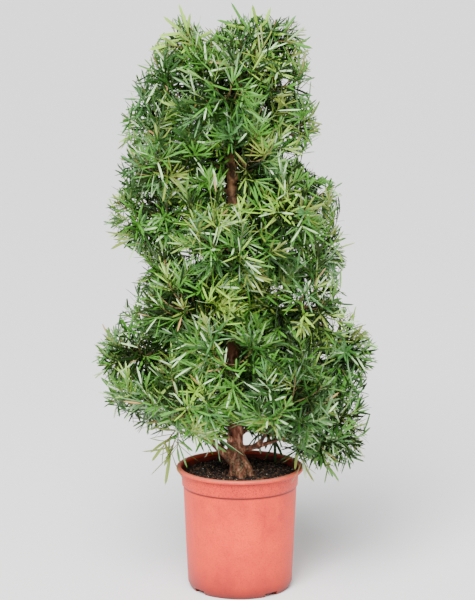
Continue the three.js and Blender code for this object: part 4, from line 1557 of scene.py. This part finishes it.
class PODOCARPUS_OT_leaves(bpy.types.Operator):
    """Models the leaves, one piece for each tier of the plant"""

    bl_idname = "podocarpus.leaves"
    bl_label = "Leaves"

    def execute(self, context):
        materials = leaf_materials(context.scene.leaf_sizes.roughness)
        for tier in TIERS:
            members = [i for i, mass in enumerate(MASSES) if mass.name.split("_")[0] == tier]
            leaves = all_leaves([leaves_of_mass(i) for i in members])
            points, faces, marks = blades(leaves)
            piece = piece_from(f"leaves_{tier}", points, faces, materials, marks)
            bpy.ops.object.shade_smooth_by_angle(angle=math.radians(SMOOTHED["leaves"]))
            finish_piece(piece, "foliage", *(f"foliage_{MASSES[i].name}" for i in members))
        return {"FINISHED"}


# The stage


def area_light(name, place, size, power):
    bpy.ops.object.light_add(type="AREA", location=place)
    lamp = bpy.context.active_object
    lamp.name = name
    lamp.data.size = size
    lamp.data.energy = power
    lamp.rotation_euler = (Vector(AIM) - Vector(place)).to_track_quat("-Z", "Y").to_euler()


class PODOCARPUS_OT_stage(bpy.types.Operator):
    """Sets the pale floor, the soft light and the camera"""

    bl_idname = "podocarpus.stage"
    bl_label = "Stage"

    def execute(self, context):
        studio = context.scene.studio
        bpy.ops.object.select_all(action="DESELECT")
        bpy.ops.mesh.primitive_plane_add(size=FLOOR["size"], location=(0, 0, -FLOOR["drop"]))
        floor = named("floor")
        material, _, shader = principled("pale_floor", (0.96, 0.96, 0.96), 0.9)
        shader.inputs["Specular IOR Level"].default_value = 0.1
        floor.data.materials.append(material)
        world = bpy.data.worlds.new("soft_light")
        context.scene.world = world
        world.use_nodes = True
        background = world.node_tree.nodes["Background"]
        background.inputs["Color"].default_value = (1, 1, 1, 1)
        background.inputs["Strength"].default_value = studio.sky
        for name, place, size, strength in LAMPS:
            area_light(name, place, size, getattr(studio, strength))
        turn = [math.radians(degrees) for degrees in WIDE_LIGHT["turn"]]
        bpy.ops.object.light_add(type="SUN", location=WIDE_LIGHT["place"], rotation=turn)
        sun = context.active_object
        sun.name = "wide_light"
        sun.data.energy = studio.wide
        sun.data.angle = math.radians(WIDE_LIGHT["angle"])
        bpy.ops.object.camera_add(
            location=(CAMERA["shift_right"], -CAMERA["distance"], CAMERA["height"]),
            rotation=(math.pi / 2 - CAMERA["tilt"], 0, 0),
        )
        camera = context.active_object
        camera.data.lens = CAMERA["lens"]
        context.scene.camera = camera
        return {"FINISHED"}


class PODOCARPUS_PT_panel(bpy.types.Panel):
    """The sizes, the colours and the pieces"""

    bl_idname = "PODOCARPUS_PT_panel"
    bl_label = "Potted podocarpus"
    bl_space_type = "VIEW_3D"
    bl_region_type = "UI"
    bl_category = "Podocarpus"

    def draw(self, context):
        for group in GROUPS:
            sizes = getattr(context.scene, group)
            column = self.layout.column()
            for name in sizes.__annotations__:
                column.prop(sizes, name)
        for operator in OPERATORS:
            self.layout.operator(operator.bl_idname)


GROUPS = {"pot_sizes": PotSizes, "leaf_sizes": LeafSizes, "plant_colours": Colours, "studio": Studio}
OPERATORS = (
    PODOCARPUS_OT_stage,
    PODOCARPUS_OT_pot,
    PODOCARPUS_OT_potting_mix,
    PODOCARPUS_OT_limbs,
    PODOCARPUS_OT_twigs,
    PODOCARPUS_OT_leaves,
)


def register():
    for name, group in GROUPS.items():
        bpy.utils.register_class(group)
        setattr(bpy.types.Scene, name, PointerProperty(type=group))
    for operator in OPERATORS:
        bpy.utils.register_class(operator)
    bpy.utils.register_class(PODOCARPUS_PT_panel)


def unregister():
    bpy.utils.unregister_class(PODOCARPUS_PT_panel)
    for operator in reversed(OPERATORS):
        bpy.utils.unregister_class(operator)
    for name, group in reversed(GROUPS.items()):
        delattr(bpy.types.Scene, name)
        bpy.utils.unregister_class(group)


def main():
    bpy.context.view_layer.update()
    register()
    bpy.ops.podocarpus.stage()
    bpy.ops.podocarpus.pot()
    bpy.ops.podocarpus.potting_mix()
    bpy.ops.podocarpus.limbs()
    bpy.ops.podocarpus.twigs()
    bpy.ops.podocarpus.leaves()


if __name__ == "__main__":
    main()
